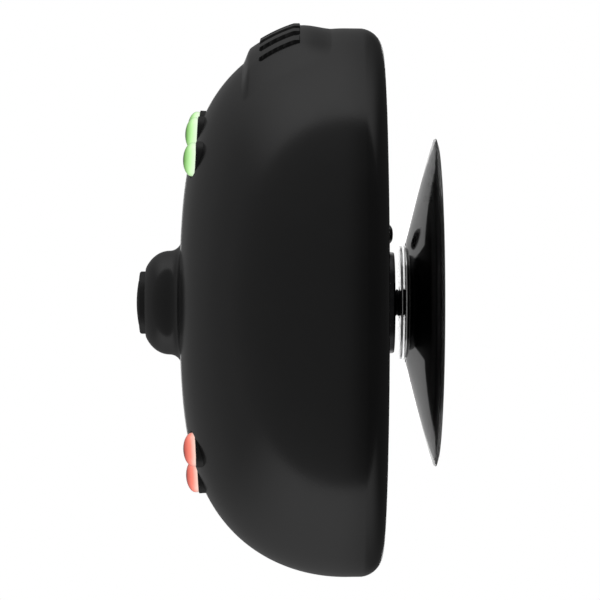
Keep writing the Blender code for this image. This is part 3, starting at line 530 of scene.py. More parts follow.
def lamp_frame(degrees):
    angle = math.radians(degrees)
    tangent = Vector((-math.sin(angle), 0, math.cos(angle)))
    lean = Matrix.Rotation(LAMP_TILT, 4, tangent)
    return Matrix.Translation(on_circle(LAMP_CIRCLE, degrees, LAMP_BASE)) @ lean


def joined(pieces, name):
    """Several pieces as one object."""
    nothing_selected()
    for piece in pieces:
        piece.select_set(True)
    bpy.context.view_layer.objects.active = pieces[0]
    bpy.ops.object.join()
    pieces[0].name = name
    return pieces[0]


# %% Cut the seats and the power inlet's hole
SEAT_TOOL_FRONT = -6 * MM
SEAT_TOOL_BACK = 7 * MM
seat_tool = turned("seat_tool", [
    (0, SEAT_TOOL_FRONT),
    (LENS_RADIUS + GAP, SEAT_TOOL_FRONT),
    (LENS_RADIUS + GAP, GAP),
    (STEM_RADIUS + GAP, GAP),
    (STEM_RADIUS + GAP, SEAT_TOOL_BACK),
    (0, SEAT_TOOL_BACK),
], 48)
tools = []
for colour, angles in LAMPS.items():
    for degrees in angles:
        tools.append(placed(copied(seat_tool, "seat_tool_copy"), lamp_frame(degrees)))
bpy.data.objects.remove(seat_tool, do_unlink=True)
inlet_low, inlet_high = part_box("power_socket")
POWER_Y = (inlet_low[1] + inlet_high[1]) / 2
INLET_RADIUS = 2.75 * MM
INLET_HOLE_START = -46 * MM
INLET_HOLE_END = -36 * MM
inlet_tool = turned("inlet_tool", [
    (0, INLET_HOLE_START),
    (INLET_RADIUS + GAP, INLET_HOLE_START),
    (INLET_RADIUS + GAP, INLET_HOLE_END),
    (0, INLET_HOLE_END),
], 48)
along_x = Matrix.Translation((0, POWER_Y, 0)) @ Matrix.Rotation(-math.pi / 2, 4, "Z")
tools.append(placed(inlet_tool, along_x))
cut(housing, joined(tools, "seat_tools"))
smoothed(housing, 35)
assemble(housing, "head", "body", satin_charcoal, "front_shell")

# %% [markdown]
# ## Lamp sockets
# Where the face falls away from a lamp, its socket stands out as a short round post with a bore
# for the lens stem. A socket is turned once as a ring with soft edges and copied to its places.
# Its plastic is the housing's, and its darker colour is painted shade.

# %% Turn and place the sockets
SOCKET_RADIUS = 2.7 * MM
SOCKET_TOP = 0.03 * MM
SOCKET_ROOT = 3.2 * MM
socket_ring = turned("socket_ring", rounded([
    (STEM_RADIUS + GAP, SOCKET_TOP, 0.1 * MM),
    (SOCKET_RADIUS, SOCKET_TOP, 0.12 * MM),
    (SOCKET_RADIUS, SOCKET_ROOT, 0.1 * MM),
    (STEM_RADIUS + GAP, SOCKET_ROOT, 0.1 * MM),
]), 48, closed=True)
for colour, angles in LAMPS.items():
    for number, degrees in enumerate(angles, start=1):
        socket = copied(socket_ring, f"{colour}_socket_{number}")
        assemble(placed(socket, lamp_frame(degrees)), "head", "body", socket_painted_shade)
bpy.data.objects.remove(socket_ring, do_unlink=True)

# %% [markdown]
# ## Lenses
# A lens is one clear moulding: a domed cap with a short straight edge, and a stem that pipes the
# light up from the board. Its attribute is written before it is placed, while its own y axis still
# tells the height.

# %% Turn and place the lenses
LENS_EDGE = 0.4 * MM
STEM_CHAMFER = 0.15 * MM
LENS_CHAMFER = 0.08 * MM
LENS_STEPS = 13
lens_outline = [(0, STEM_LENGTH), (STEM_RADIUS - STEM_CHAMFER, STEM_LENGTH),
                (STEM_RADIUS, STEM_LENGTH - STEM_CHAMFER), (STEM_RADIUS, 0),
                (LENS_RADIUS - LENS_CHAMFER, 0), (LENS_RADIUS, -LENS_CHAMFER)]
for step in range(LENS_STEPS):
    angle = math.radians(90 * step / LENS_STEPS)
    lens_outline.append((LENS_RADIUS * math.cos(angle),
                         -LENS_EDGE - (LENS_HEIGHT - LENS_EDGE) * math.sin(angle)))
lens_outline.append((0, -LENS_HEIGHT))
lens_cap = turned("lens_cap", lens_outline, 48, sharp=50)
heights = [min(max(-vertex.co.y / LENS_HEIGHT, 0.0), 1.0) for vertex in lens_cap.data.vertices]
rise = lens_cap.data.attributes.new("rise", "FLOAT", "POINT")
rise.data.foreach_set("value", heights)
for colour, angles in LAMPS.items():
    plastic = {"green": green_plastic, "red": red_plastic}[colour]
    for number, degrees in enumerate(angles, start=1):
        lens = placed(copied(lens_cap, f"{colour}_lamp_lens_{number}"), lamp_frame(degrees))
        assemble(lens, "head", f"{colour}_lens", plastic, f"{colour}_lens_{number}")
        lens.visible_glossy = False
bpy.data.objects.remove(lens_cap, do_unlink=True)

# %% [markdown]
# ## Raised panel and its grip ribs
# The top of the dome carries a panel that stands 1.5 mm proud at its front and fades into the
# dome towards the back. Nine low ribs run across it. Both follow the dome, so a patch of the dome
# is spun with a fine mesh, bisected to its sides, and its outer points are raised by a smooth
# function of their place. A bevel can't make such wide soft slopes on a curved surface.

# %% A patch of the dome, cut to its sides
PANEL_LIFT = 1.5 * MM
PANEL_HALF_WIDTH = 23.6 * MM
PANEL_FRONT = WIDEST - 15.6 * MM
PANEL_BACK = WIDEST - 0.5 * MM
PANEL_SIDE_SLOPE = 6.5 * MM
PANEL_FRONT_SLOPE = 1.3 * MM
PANEL_FADE_START = 8 * MM
PANEL_FADE_END = 1.2 * MM
RIB_LIFT = 0.45 * MM
RIB_WIDTH = 2.6 * MM
RIB_FRONT = WIDEST - 13.2 * MM
RIB_BACK = RIB_FRONT + 6.7 * MM
SINK = 0.08 * MM
PATCH_SWEEP = math.radians(80)
CUT_THRESHOLD = 0.0001 * MM


def trimmed(piece, planes, scores=()):
    """Cut a piece by planes of (point, outward direction), close the cuts, and score lines."""
    nothing_selected()
    piece.select_set(True)
    bpy.context.view_layer.objects.active = piece
    bpy.ops.object.mode_set(mode="EDIT")
    for point, direction in planes:
        bpy.ops.mesh.select_all(action="SELECT")
        bpy.ops.mesh.bisect(plane_co=point, plane_no=direction, use_fill=True,
                            clear_outer=True, threshold=CUT_THRESHOLD)
    for point, direction in scores:
        bpy.ops.mesh.select_all(action="SELECT")
        bpy.ops.mesh.bisect(plane_co=point, plane_no=direction, threshold=CUT_THRESHOLD)
    bpy.ops.mesh.select_all(action="SELECT")
    bpy.ops.mesh.normals_make_consistent(inside=False)
    bpy.ops.object.mode_set(mode="OBJECT")
    return piece


def dome_patch(name, around, along):
    """The top of the dome's wall, as fine as the numbers of steps around and along it."""
    outer = dome_outline(BODY_RADIUS, DOME_DEPTH, BODY_RADIUS * 0.8, along)
    core = dome_outline(BODY_RADIUS - WALL / 2, DOME_DEPTH - WALL / 2, BODY_RADIUS * 0.78, 8)
    patch = turned(name, outer + core[::-1], around, closed=True, sweep=PATCH_SWEEP)
    top = Matrix.Rotation(-(math.pi - PATCH_SWEEP) / 2, 4, "Y")
    placed(patch, top)
    if sum(vertex.co.z for vertex in patch.data.vertices) < 0:
        placed(patch, Matrix.Rotation(math.pi, 4, "Y"))
    return patch


def eased(value, start, end):
    """A smooth step from 0 at the start to 1 at the end."""
    share = min(max((value - start) / (end - start), 0.0), 1.0)
    return share * share * (3 - 2 * share)


def dome_radius(y):
    """The radius of the dome's outside at a place along the axis."""
    share = 1 - min((WIDEST - y) / DOME_DEPTH, 1.0) ** 2
    return BODY_RADIUS * share ** (1 / DOME_FULLNESS)


def raised(piece, height_at):
    """Lift a patch's outer points above the dome by a function of x and y."""
    for vertex in piece.data.vertices:
        x, y, z = vertex.co
        radius = math.hypot(x, z)
        base = dome_radius(min(y, WIDEST))
        if base - radius < WALL / 4:
            target = min(base - SINK + height_at(x, y), BODY_TOP)
            vertex.co = (x * target / radius, y, z * target / radius)
    smoothed(piece, 60)
    return piece


def panel_height(x, y):
    side = eased(PANEL_HALF_WIDTH - abs(x), 0, PANEL_SIDE_SLOPE)
    front = eased(y, PANEL_FRONT, PANEL_FRONT + PANEL_FRONT_SLOPE)
    back = eased(WIDEST - y, PANEL_FADE_END, PANEL_FADE_START)
    return (PANEL_LIFT + SINK) * side * front * back


# %% The panel
panel = trimmed(dome_patch("raised_panel", 150, 90), [
    ((PANEL_HALF_WIDTH, 0, 0), (1, 0, 0)),
    ((-PANEL_HALF_WIDTH, 0, 0), (-1, 0, 0)),
    ((0, PANEL_FRONT, 0), (0, -1, 0)),
    ((0, PANEL_BACK, 0), (0, 1, 0)),
])
raised(panel, panel_height)
assemble(panel, "head", "body", satin_charcoal)

# %% The ribs
RIB_COUNT = 9
RIB_SPAN = 33 * MM
RIB_SLOPE = 0.4 * MM
RIB_TOP_HALF_WIDTH = RIB_WIDTH / 2 - RIB_SLOPE
rib_pitch = RIB_SPAN / (RIB_COUNT - 1)


def rib_height(middle, x, y):
    """The height over the dome of the rib whose middle is at the given x."""
    side = eased(RIB_WIDTH / 2 - abs(x - middle), 0, RIB_SLOPE)
    front = eased(y, RIB_FRONT, RIB_FRONT + RIB_SLOPE)
    back = eased(-y, -RIB_BACK, -RIB_BACK + RIB_SLOPE)
    return (panel_height(x, y) + RIB_LIFT) * side * (front * back)


rib_strip = trimmed(dome_patch("rib_strip", 300, 150), [
    ((0, RIB_FRONT, 0), (0, -1, 0)),
    ((0, RIB_BACK, 0), (0, 1, 0)),
], [
    ((0, RIB_FRONT + RIB_SLOPE, 0), (0, -1, 0)),
    ((0, RIB_BACK - RIB_SLOPE, 0), (0, 1, 0)),
])
for index in range(RIB_COUNT):
    middle = (index - (RIB_COUNT - 1) / 2) * rib_pitch
    rib = trimmed(copied(rib_strip, f"grip_rib_{index + 1}"), [
        ((middle + RIB_WIDTH / 2, 0, 0), (1, 0, 0)),
        ((middle - RIB_WIDTH / 2, 0, 0), (-1, 0, 0)),
    ], [
        ((middle + RIB_TOP_HALF_WIDTH, 0, 0), (1, 0, 0)),
        ((middle - RIB_TOP_HALF_WIDTH, 0, 0), (-1, 0, 0)),
    ])
    raised(rib, lambda x, y: rib_height(middle, x, y))
    assemble(rib, "head", "body", satin_charcoal)
bpy.data.objects.remove(rib_strip, do_unlink=True)

# %% [markdown]
# ## Keys
# Two nested keys look out of the hub: a ring, and a crowned button inside it. Each has a flange
# behind the hub's shelf, so that it can't fall out, and it presses a switch on the lamp board by
# a stem or by two legs.

# %% The ring key with its two legs
ring_low, ring_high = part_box("ring_key")
RING_RADIUS = 4.8 * MM
RING_HOLE = 3.9 * MM
RING_FLANGE = ring_high[0]
FLANGE_FRONT = KEY_SHELF + GAP
FLANGE_BACK = FLANGE_FRONT + 1 * MM
LEG_RADIUS = 0.6 * MM
LEG_CHAMFER = 0.15 * MM
LEG_ROOT = FLANGE_BACK - 0.5 * MM
LEG_X = RING_FLANGE - 0.65 * MM
ring_key = turned("outer_ring_key", rounded([
    (RING_HOLE, FLANGE_BACK, 0),
    (RING_FLANGE, FLANGE_BACK, 0.1 * MM),
    (RING_FLANGE, FLANGE_FRONT, 0.1 * MM),
    (RING_RADIUS, FLANGE_FRONT, 0),
    (RING_RADIUS, ring_low[1], 0.3 * MM),
    (RING_HOLE, ring_low[1], 0.12 * MM),
], 5), 96, closed=True)
for side in (-1, 1):
    leg = turned("key_leg", [
        (0, LEG_ROOT),
        (LEG_RADIUS, LEG_ROOT),
        (LEG_RADIUS, ring_high[1] - LEG_CHAMFER),
        (LEG_RADIUS - LEG_CHAMFER, ring_high[1]),
        (0, ring_high[1]),
    ], 24)
    cut(ring_key, placed(leg, Matrix.Translation((side * LEG_X, 0, 0))), "UNION")
smoothed(ring_key, 32)
assemble(ring_key, "ring_key", "key", key_rubber, "ring_key")

# %% The centre key
centre_low, centre_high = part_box("centre_key")
CENTRE_RADIUS = 3.6 * MM
CENTRE_STEM_RADIUS = 1.4 * MM
CENTRE_FLANGE_FRONT = FLANGE_BACK + 0.8 * MM
CENTRE_FLANGE_BACK = FLANGE_BACK + 1.8 * MM
CROWN_HEIGHT = 0.3 * MM
CROWN_ROUND = 0.35 * MM
CROWN_STEPS = 8
edge_y = centre_low[1] + CROWN_HEIGHT
centre_outline = rounded([
    (0, centre_high[1], 0),
    (CENTRE_STEM_RADIUS, centre_high[1], 0.15 * MM),
    (CENTRE_STEM_RADIUS, CENTRE_FLANGE_BACK, 0),
    (centre_high[0], CENTRE_FLANGE_BACK, 0.1 * MM),
    (centre_high[0], CENTRE_FLANGE_FRONT, 0.1 * MM),
    (CENTRE_RADIUS, CENTRE_FLANGE_FRONT, 0),
])
crown_corner = (CENTRE_RADIUS - CROWN_ROUND, edge_y + CROWN_ROUND)
centre_outline += arc(crown_corner, CROWN_ROUND, 0, -78, 5)
for step in range(1, CROWN_STEPS + 1):
    share = 1 - step / CROWN_STEPS
    centre_outline.append((CENTRE_RADIUS * 0.9 * share, edge_y - CROWN_HEIGHT * (1 - share ** 2)))
centre_key = turned("centre_button_key", centre_outline, 96, sharp=40)
assemble(centre_key, "centre_key", "key", key_rubber, "centre_key")

# %% [markdown]
# ## Back cover
# A flat plastic disc closes the back. It has a blind boss that holds a brass bush for the stud,
# slots for the speaker, a hole for the dark laser lens and four recessed screws. The disc and its
# boss are turned with rounded corners, and then the openings are cut.

# %% Turn the cover and cut its openings
COVER_BORE = 4.0 * MM
BOSS_RADIUS = 5.6 * MM
BORE_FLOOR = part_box("brass_insert")[0][1] - GAP
cover_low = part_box("back_cover")[0]
cover = turned("rear_cover", rounded([
    (0, BORE_FLOOR, 0),
    (COVER_BORE, BORE_FLOOR, 0),
    (COVER_BORE, BODY_BACK, 0.25 * MM),
    (COVER_RADIUS, BODY_BACK, 0.35 * MM),
    (COVER_RADIUS, COVER_INSIDE, 0.2 * MM),
    (BOSS_RADIUS, COVER_INSIDE, 0.6 * MM),
    (BOSS_RADIUS, cover_low[1], 0.4 * MM),
    (0, cover_low[1], 0),
]), 128)
SCREW_CIRCLE = 31.5 * MM
SCREW_ANGLES = (20, 160, 200, 340)
SCREW_RADIUS = 1.8 * MM
SHANK_RADIUS = 0.8 * MM
SCREW_SEAT = BODY_BACK - 1.3 * MM
SPEAKER_Z = 22.8 * MM
SPEAKER_RADIUS = 7.8 * MM
SLOT_COUNT = 5
SLOT_PITCH = 2.6 * MM
SLOT_WIDTH = 1.2 * MM
SLOT_ROUND = 0.59 * MM
LASER_Z = 10.5 * MM
LASER_RADIUS = 1.85 * MM
OUTSIDE_COVER = BODY_BACK + MM
INSIDE_COVER = COVER_INSIDE - MM
cutters = []
for degrees in SCREW_ANGLES:
    tool = turned("screw_tool", [
        (0, OUTSIDE_COVER),
        (SCREW_RADIUS + 0.7 * MM, OUTSIDE_COVER),
        (SCREW_RADIUS + GAP, BODY_BACK - 0.2 * MM),
        (SCREW_RADIUS + GAP, SCREW_SEAT - GAP),
        (SHANK_RADIUS + GAP, SCREW_SEAT - GAP),
        (SHANK_RADIUS + GAP, INSIDE_COVER),
        (0, INSIDE_COVER),
    ], 32)
    cutters.append(placed(tool, Matrix.Translation(on_circle(SCREW_CIRCLE, degrees))))
laser_tool = turned("laser_tool", [
    (0, OUTSIDE_COVER),
    (LASER_RADIUS + GAP, OUTSIDE_COVER),
    (LASER_RADIUS + GAP, INSIDE_COVER),
    (0, INSIDE_COVER),
], 48)
cutters.append(placed(laser_tool, Matrix.Translation((0, 0, LASER_Z))))
for index in range(SLOT_COUNT):
    offset = (index - (SLOT_COUNT - 1) / 2) * SLOT_PITCH
    length = math.sqrt(SPEAKER_RADIUS ** 2 - offset ** 2) * 1.7
    slot = block("slot_tool", (length, 6 * MM, SLOT_WIDTH),
                 (0, BODY_BACK - COVER_THICKNESS / 2, SPEAKER_Z + offset))
    nothing_selected()
    bpy.context.view_layer.objects.active = slot
    bpy.ops.object.mode_set(mode="EDIT")
    bpy.ops.mesh.select_mode(type="EDGE")
    bpy.ops.mesh.select_all(action="DESELECT")
    shape = bmesh.from_edit_mesh(slot.data)
    for edge in shape.edges:
        ends = [vertex.co for vertex in edge.verts]
        edge.select = abs(ends[0].y - ends[1].y) > MM
    bmesh.update_edit_mesh(slot.data)
    bpy.ops.mesh.bevel(offset=SLOT_ROUND, segments=5, affect="EDGES")
    bpy.ops.object.mode_set(mode="OBJECT")
    cutters.append(slot)
cut(cover, joined(cutters, "cover_tools"))
smoothed(cover, 35)
assemble(cover, "head", "cover", cover_plastic, "back_cover")

# %% [markdown]
# ## Screws, laser lens and brass bush
# The screws have a rounded head with one slot. The laser lens is a dark cap that lets infrared
# light through to a sensor on the board. The brass bush keeps its mechanical shape and gets a
# turned-metal finish.

# %% Cover screws
SHANK_LENGTH = 5.7 * MM
screw = turned("screw", rounded([
    (0, BODY_BACK - GAP, 0),
    (SCREW_RADIUS, BODY_BACK - GAP, 0.35 * MM),
    (SCREW_RADIUS, SCREW_SEAT, 0.08 * MM),
    (SHANK_RADIUS, SCREW_SEAT, 0),
    (SHANK_RADIUS, SCREW_SEAT - SHANK_LENGTH, 0),
    (0, SCREW_SEAT - SHANK_LENGTH - SHANK_RADIUS, 0),
]), 32)
cut(screw, block("driver_slot", (6 * MM, 0.9 * MM, 0.5 * MM), (0, BODY_BACK - GAP, 0)))
smoothed(screw, 35)
for number, degrees in enumerate(SCREW_ANGLES, start=1):
    place = Matrix.Translation(on_circle(SCREW_CIRCLE, degrees))
    turn = Matrix.Rotation(math.radians(37 * number), 4, "Y")
    fixed = placed(copied(screw, f"cover_fixing_{number}"), place @ turn)
    assemble(fixed, "head", "dark_steel", black_steel, f"cover_screw_{number}")
bpy.data.objects.remove(screw, do_unlink=True)

# %% Laser lens
laser_low, laser_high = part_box("laser_lens")
LASER_FLANGE = LASER_RADIUS + 0.9 * MM
LASER_BLUNTNESS = 0.7
laser_outline = rounded([
    (0, laser_low[1], 0),
    (LASER_FLANGE, laser_low[1], 0.1 * MM),
    (LASER_FLANGE, COVER_INSIDE - GAP, 0.1 * MM),
    (LASER_RADIUS, COVER_INSIDE - GAP, 0),
])
for step in range(LENS_STEPS):
    angle = math.radians(90 * step / LENS_STEPS)
    laser_outline.append((LASER_RADIUS * math.cos(angle) ** LASER_BLUNTNESS,
                          BODY_BACK + (laser_high[1] - BODY_BACK) * math.sin(angle)))
laser_outline.append((0, laser_high[1]))
laser = turned("laser_window", laser_outline, 64, sharp=45)
placed(laser, Matrix.Translation((0, 0, LASER_Z)))
assemble(laser, "head", "filter", infrared_filter, "laser_lens")

# %% [markdown]
# ## Power inlet
# The power lead plugs in at the side, so the inlet is a block on the main board with a barrel
# that reaches the shell, a bore for the plug and a contact pin in it.

# %% The inlet block and its barrel
BLOCK_OUTER_X = -37 * MM
BLOCK_INNER_X = inlet_high[0]
block_size = (BLOCK_INNER_X - BLOCK_OUTER_X, inlet_high[1] - inlet_low[1],
              inlet_high[2] - inlet_low[2])
inlet = block("power_inlet", block_size,
              ((BLOCK_INNER_X + BLOCK_OUTER_X) / 2, POWER_Y, 0), 0.25 * MM)
mouth = inlet_low[0]
BARREL_ROOT = BLOCK_OUTER_X + 3 * MM
BORE_RADIUS = 1.75 * MM
BORE_CHAMFER = 0.25 * MM
BORE_END = mouth + 7.5 * MM
PIN_RADIUS = 0.5 * MM
PIN_TIP = mouth + 1.6 * MM
PIN_ROOT = BORE_END + PIN_RADIUS


def on_inlet_axis(piece):
    """Lay a turned piece along x, with its own y as x."""
    return placed(piece, along_x)


barrel = turned("barrel", rounded([
    (0, BARREL_ROOT, 0),
    (INLET_RADIUS, BARREL_ROOT, 0),
    (INLET_RADIUS, mouth, 0.2 * MM),
    (0, mouth, 0),
]), 64)
bore = turned("bore", rounded([
    (0, mouth - MM, 0),
    (BORE_RADIUS + BORE_CHAMFER, mouth - MM, 0),
    (BORE_RADIUS + BORE_CHAMFER, mouth, 0),
    (BORE_RADIUS, mouth + BORE_CHAMFER, 0),
    (BORE_RADIUS, BORE_END, 0),
    (0, BORE_END, 0),
]), 64)
pin = turned("pin", rounded([
    (0, PIN_ROOT, 0),
    (PIN_RADIUS, PIN_ROOT, 0),
    (PIN_RADIUS, PIN_TIP, 0.2 * MM),
    (0, PIN_TIP, 0),
]), 24)
cut(inlet, on_inlet_axis(barrel), "UNION")
cut(inlet, on_inlet_axis(bore))
cut(inlet, on_inlet_axis(pin), "UNION")
smoothed(inlet, 35)
assemble(inlet, "head", "chip", chip_plastic, "power_socket")

# %% [markdown]
# ## Stud, lock nut and discs
# The housing screws onto a steel stud and is locked by a thin round nut with two slots for a pin
# wrench. The stud's thread is a real helix. It starts as a turned rod with many rings, and each
# point is then moved in or out by its place along the helix, so the mesh stays closed, which an
# open swept profile wouldn't.

# %% The threaded stud
stud_low, stud_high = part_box("threaded_stud")
STUD_RADIUS = 2.1 * MM
THREAD_PITCH = 0.45 * MM
THREAD_DEPTH = 0.2 * MM
THREAD_RINGS = 9
FLANK_SLOPE = 1.3
ROOT_FLAT = 0.15
STUD_CHAMFER = 0.5 * MM
thread_start = stud_high[1] - 0.3 * MM
thread_end = stud_low[1] + STUD_CHAMFER
thread_outline = [(0, stud_high[1]), (STUD_RADIUS, stud_high[1])]
rings = int((thread_start - thread_end) / THREAD_PITCH * THREAD_RINGS)
for ring in range(rings + 1):
    thread_outline.append((STUD_RADIUS, thread_start - ring * THREAD_PITCH / THREAD_RINGS))
thread_outline += [(STUD_RADIUS - STUD_CHAMFER, stud_low[1]), (0, stud_low[1])]
stud = turned("stud", thread_outline, 36, sharp=60)
for vertex in stud.data.vertices:
    x, y, z = vertex.co
    radius = math.hypot(x, z)
    if radius < STUD_RADIUS * 0.9 or y > stud_high[1] - 0.2 * MM:
        continue
    turns = y / THREAD_PITCH - math.atan2(z, x) / math.tau
    height = abs(2 * (turns - math.floor(turns)) - 1)
    height = min(max(height * FLANK_SLOPE - ROOT_FLAT, 0.0), 1.0)
    scale = (radius - THREAD_DEPTH * (1 - height)) / radius
    vertex.co = (x * scale, y, z * scale)
smoothed(stud, 60)
assemble(stud, "mount", "dark_steel", black_steel, "threaded_stud")

# %% The lock nut
nut_low, nut_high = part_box("lock_nut")
NUT_RADIUS = nut_high[0]
STUD_HOLE = STUD_RADIUS + GAP
nut = turned("round_lock_nut", rounded([
    (STUD_HOLE, nut_high[1], 0.15 * MM),
    (NUT_RADIUS, nut_high[1], 0.3 * MM),
    (NUT_RADIUS, nut_low[1], 0.3 * MM),
    (STUD_HOLE, nut_low[1], 0.15 * MM),
], 6), 128, closed=True)
for side in (-1, 1):
    cut(nut, block("wrench_slot", (1.8 * MM, 0.8 * MM, 3.2 * MM),
                   (0, nut_high[1], side * NUT_RADIUS), 0.12 * MM))
smoothed(nut, 35)
assemble(nut, "lock_nut", "dark_steel", black_steel, "lock_nut")

# %% The bright washer and the plate on the cup's neck
DISC_ROUND = 0.12 * MM
DISC_HOLE_ROUND = 0.05 * MM
for name, node in (("bright_washer", "chrome_washer"), ("neck_plate", "head_plate")):
    low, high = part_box(node)
    disc = turned(name, rounded([
        (STUD_HOLE, high[1], DISC_HOLE_ROUND),
        (high[0], high[1], DISC_ROUND),
        (high[0], low[1], DISC_ROUND),
        (STUD_HOLE, low[1], DISC_HOLE_ROUND),
    ], 6), 128, closed=True)
    assemble(disc, "mount", "chrome", chrome_plate, node)

# %% [markdown]
# ## Suction cup
# The cup is pressed flat on the glass. Its neck is the seat of the bright plate. Outside it flares
# to a feather edge, and inside it has a broad sealing ring round a shallow hollow with two moulded
# ridges.

# %% The cup
NECK_RADIUS = 9.4 * MM
EDGE_THICKNESS = 0.8 * MM
EDGE_ROUND = 0.2 * MM
CURVED_SHARE = 0.16
CURVED_POWER = 5
FLARE_STEPS = 32
flare = []
for step in range(FLARE_STEPS + 1):
    share = step / FLARE_STEPS
    rise = (1 - CURVED_SHARE) * share + CURVED_SHARE * share ** CURVED_POWER
    flare.append((NECK_RADIUS + (CUP_RADIUS - EDGE_ROUND - NECK_RADIUS) * share,
                  cup_low[1] + (-EDGE_THICKNESS - cup_low[1]) * rise))
feather = [(CUP_RADIUS - 0.06 * MM, -0.64 * MM), (CUP_RADIUS, -0.46 * MM),
           (CUP_RADIUS - 0.05 * MM, -0.28 * MM), (CUP_RADIUS - 0.5 * MM, -0.1 * MM),
           (CUP_RADIUS - 1.2 * MM, 0)]
SEAL_INNER = 19.7 * MM
SEAL_STEP = 0.12 * MM
HOLLOW_DEPTH = 0.9 * MM
HOLLOW_STEPS = 24
RIDGE_HEIGHT = 0.16 * MM
hollow = [(SEAL_INNER + GAP, 0), (SEAL_INNER, -SEAL_STEP)]
for step in range(1, HOLLOW_STEPS + 1):
    share = 1 - step / HOLLOW_STEPS
    ridge = RIDGE_HEIGHT * max(0.0, math.cos((share - 0.55) * 40)) * (0.4 < share < 0.75)
    hollow.append((SEAL_INNER * share, -SEAL_STEP - HOLLOW_DEPTH * (1 - share ** 2) + ridge))
seat_floor = stud_high[1] + GAP
plate_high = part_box("head_plate")[1]
neck_end = plate_high[1] + GAP
plate_seat_radius = plate_high[0] + GAP
cup_outline = [(0, seat_floor), (STUD_HOLE, seat_floor), (STUD_HOLE, neck_end),
               (plate_seat_radius, neck_end), (plate_seat_radius, cup_low[1])]
cup = turned("vinyl_suction_cup", cup_outline + flare + feather + hollow, 160, sharp=40)
assemble(cup, "mount", "cup", cup_vinyl, "suction_cup")

# %% [markdown]
# ## Pieces inside
# The boards, the horn and the other pieces inside keep their mechanical shapes. Each gets the
# finish of what it is made of, so that the model is whole.

# %% Finish the inner nodes
INNER = {
    "brass_insert": brass_turned, "lamp_board": board_green, "main_board": board_green,
    "board_header": chip_plastic, "processor": chip_plastic, "shield_can": cast_zinc,
    "horn_antenna": cast_zinc, "speaker": cone_paper, "laser_sensor": chip_plastic,
    "centre_switch": chip_plastic, "left_switch": chip_plastic, "right_switch": chip_plastic,
}
for number in range(1, 5):
    INNER[f"board_spacer_{number}"] = brass_turned
for colour, angles in LAMPS.items():
    for number in range(1, len(angles) + 1):
        INNER[f"{colour}_emitter_{number}"] = emitter_clear
for node, material in INNER.items():
    for slot_in_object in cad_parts[node].material_slots:
        slot_in_object.material = material
print(len(INNER), "inner nodes finished")

# %% [markdown]
# ## Studio
# The object hangs in front of a white backdrop over a pale floor. The light is soft and comes
# from behind, above and below, and the side towards the camera is dim, so the middle of the black
# housing stays dark and its upper and lower parts catch a broad sheen. Small cards in the gap
# behind the cup give the vinyl its sheen, and cards beside it make its thin edge pale.

# %% The floor
nothing_selected()
bpy.ops.mesh.primitive_plane_add(size=5, location=(0, 0, -0.35))
floor = bpy.context.object
floor.name = "floor"
pale = finish("pale_floor", (0.8, 0.8, 0.8), 0.7, Emission_Color=(1, 1, 1, 1),
              Emission_Strength=0.8)
to_shader(pale, spread(pale, noise(pale, 3, 2), 0.65, 0.75), "Roughness")
floor.data.materials.append(pale)
for seen_by in ("visible_diffuse", "visible_glossy", "visible_transmission"):
    setattr(floor, seen_by, False)

# %% The surroundings: bright behind, dim in front, white to the camera
world = bpy.data.worlds.new("studio")
bpy.context.scene.world = world
world.use_nodes = True
nodes, links = world.node_tree.nodes, world.node_tree.links
backdrop = nodes["Background"]
backdrop.inputs["Color"].default_value = (1, 1, 1, 1)
around = nodes.new("ShaderNodeBackground")
around.inputs["Color"].default_value = (1, 1, 1, 1)
direction = nodes.new("ShaderNodeTexCoord")
split = nodes.new("ShaderNodeSeparateXYZ")
links.new(direction.outputs["Generated"], split.inputs["Vector"])


def calculated(operation, *values):
    """A math node whose inputs are numbers or the outputs of other nodes."""
    node = nodes.new("ShaderNodeMath")
    node.operation = operation
    for value, socket in zip(values, node.inputs):
        if isinstance(value, (int, float)):
            socket.default_value = value
        else:
            links.new(value, socket)
    return node.outputs[0]


def level_along_x(stops):
    """A level that depends on how far a direction points towards +x, by (x, level) stops."""
    node = ramp_node(world.node_tree, [((x + 1) / 2, (level,) * 3) for x, level in stops])
    links.new(calculated("MULTIPLY_ADD", split.outputs["X"], 0.5, 0.5), node.inputs["Fac"])
    return node.outputs["Color"]


def share_between(source, start, end):
    node = nodes.new("ShaderNodeMapRange")
    node.interpolation_type = "SMOOTHSTEP"
    node.inputs["From Min"].default_value = start
    node.inputs["From Max"].default_value = end
    links.new(source, node.inputs["Value"])
    return node.outputs["Result"]


SOFTBOX_START = 0.58
SOFTBOX_END = 0.96
SOFTBOX_LEVEL = 0.9
UPPER_EXTRA = 0.11
CABIN_LOSS = 0.7
height = calculated("ABSOLUTE", split.outputs["Z"])
across = calculated("SQRT", calculated("ADD", calculated("POWER", height, 2),
                                       calculated("MULTIPLY", split.outputs["Y"],
                                                  split.outputs["Y"])))
upright = share_between(calculated("DIVIDE", height, calculated("MAXIMUM", across, 0.0001)),
                        SOFTBOX_START, SOFTBOX_END)
upright = calculated("MULTIPLY", upright, calculated("MULTIPLY_ADD", split.outputs["Z"],
                                                     UPPER_EXTRA, SOFTBOX_LEVEL))
dim_room = level_along_x([(-1, 0.14), (-0.85, 0.14), (-0.5, 0.23), (0, 0.3), (0.3, 0.26),
                          (1, 0.22)])
softboxes = level_along_x([(-0.9, 0.0), (-0.85, 0.02), (-0.7, 0.06), (-0.5, 0.16), (-0.2, 0.39),
                           (0.13, 0.6), (0.18, 0.0)])
white_wall = level_along_x([(-1, 1), (-0.99, 1), (-0.985, 0)])
cabin_side = calculated("SUBTRACT", 1, calculated("MULTIPLY", CABIN_LOSS, share_between(
    split.outputs["Y"], -0.05, 0.25)))
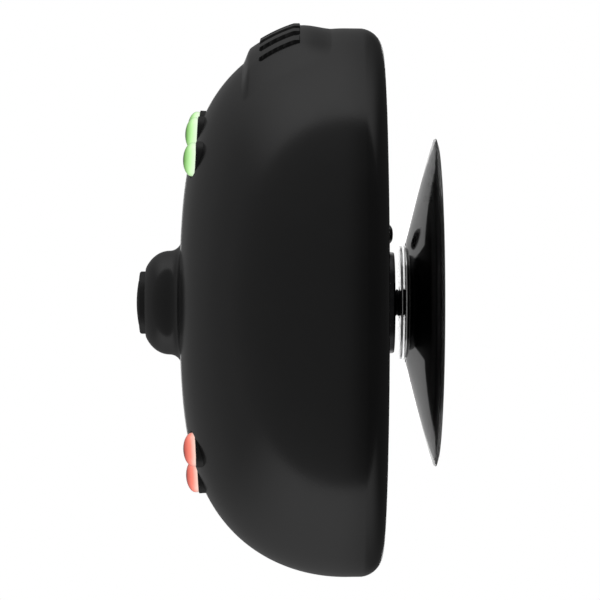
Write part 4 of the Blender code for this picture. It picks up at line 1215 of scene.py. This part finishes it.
level = calculated("ADD", calculated("MULTIPLY", dim_room, cabin_side),
                   calculated("MULTIPLY", softboxes, upright))
links.new(calculated("MAXIMUM", level, white_wall), around.inputs["Strength"])
path = nodes.new("ShaderNodeLightPath")
choose = nodes.new("ShaderNodeMixShader")
links.new(path.outputs["Is Camera Ray"], choose.inputs["Fac"])
links.new(around.outputs["Background"], choose.inputs[1])
links.new(backdrop.outputs["Background"], choose.inputs[2])
links.new(choose.outputs["Shader"], nodes["World Output"].inputs["Surface"])


# %% Soft lights
def soft_light(name, place, towards, size, radiance, roll=0.0):
    """A rectangular light that the camera doesn't see, with its radiance in W/(sr m2)."""
    data = bpy.data.lights.new(name, "AREA")
    data.shape = "RECTANGLE"
    data.size, data.size_y = size
    data.energy = radiance * math.pi * size[0] * size[1]
    light = bpy.data.objects.new(name, data)
    bpy.context.collection.objects.link(light)
    light.location = place
    aim = Vector(towards) - Vector(place)
    turn = aim.to_track_quat("-Z", "Y").to_matrix() @ Matrix.Rotation(roll, 3, "Z")
    light.rotation_euler = turn.to_euler()
    light.visible_camera = False
    return light


GAP_CARD_X = -0.0156
GAP_CARD_Z = 0.0147
GAP_CARD_ROLL = math.radians(28)
soft_light("card_behind", (-0.3, -0.015, 0), (0, -0.015, 0), (0.12, 0.12), 0.42)
for side, half in ((1, "upper"), (-1, "lower")):
    soft_light(f"{half}_gap_card", (GAP_CARD_X, BODY_BACK + GAP, side * GAP_CARD_Z),
               (GAP_CARD_X, 0, side * GAP_CARD_Z), (0.034, 0.03), 0.38, side * GAP_CARD_ROLL)
    soft_light(f"{half}_edge_card", (-0.05, -0.008, side * 0.03), (0, -0.0015, side * 0.023),
               (0.02, 0.036), 1.0)

# %% The camera
camera_data = bpy.data.cameras.new("camera")
camera_data.sensor_width = 36
camera_data.lens = 165.0
camera = bpy.data.objects.new("camera", camera_data)
bpy.context.collection.objects.link(camera)
camera.location = (0.423, -0.0211, 0.0004)
camera.rotation_euler = (math.pi / 2, 0, math.pi / 2)
bpy.context.scene.camera = camera
bpy.context.scene.view_settings.view_transform = "Standard"
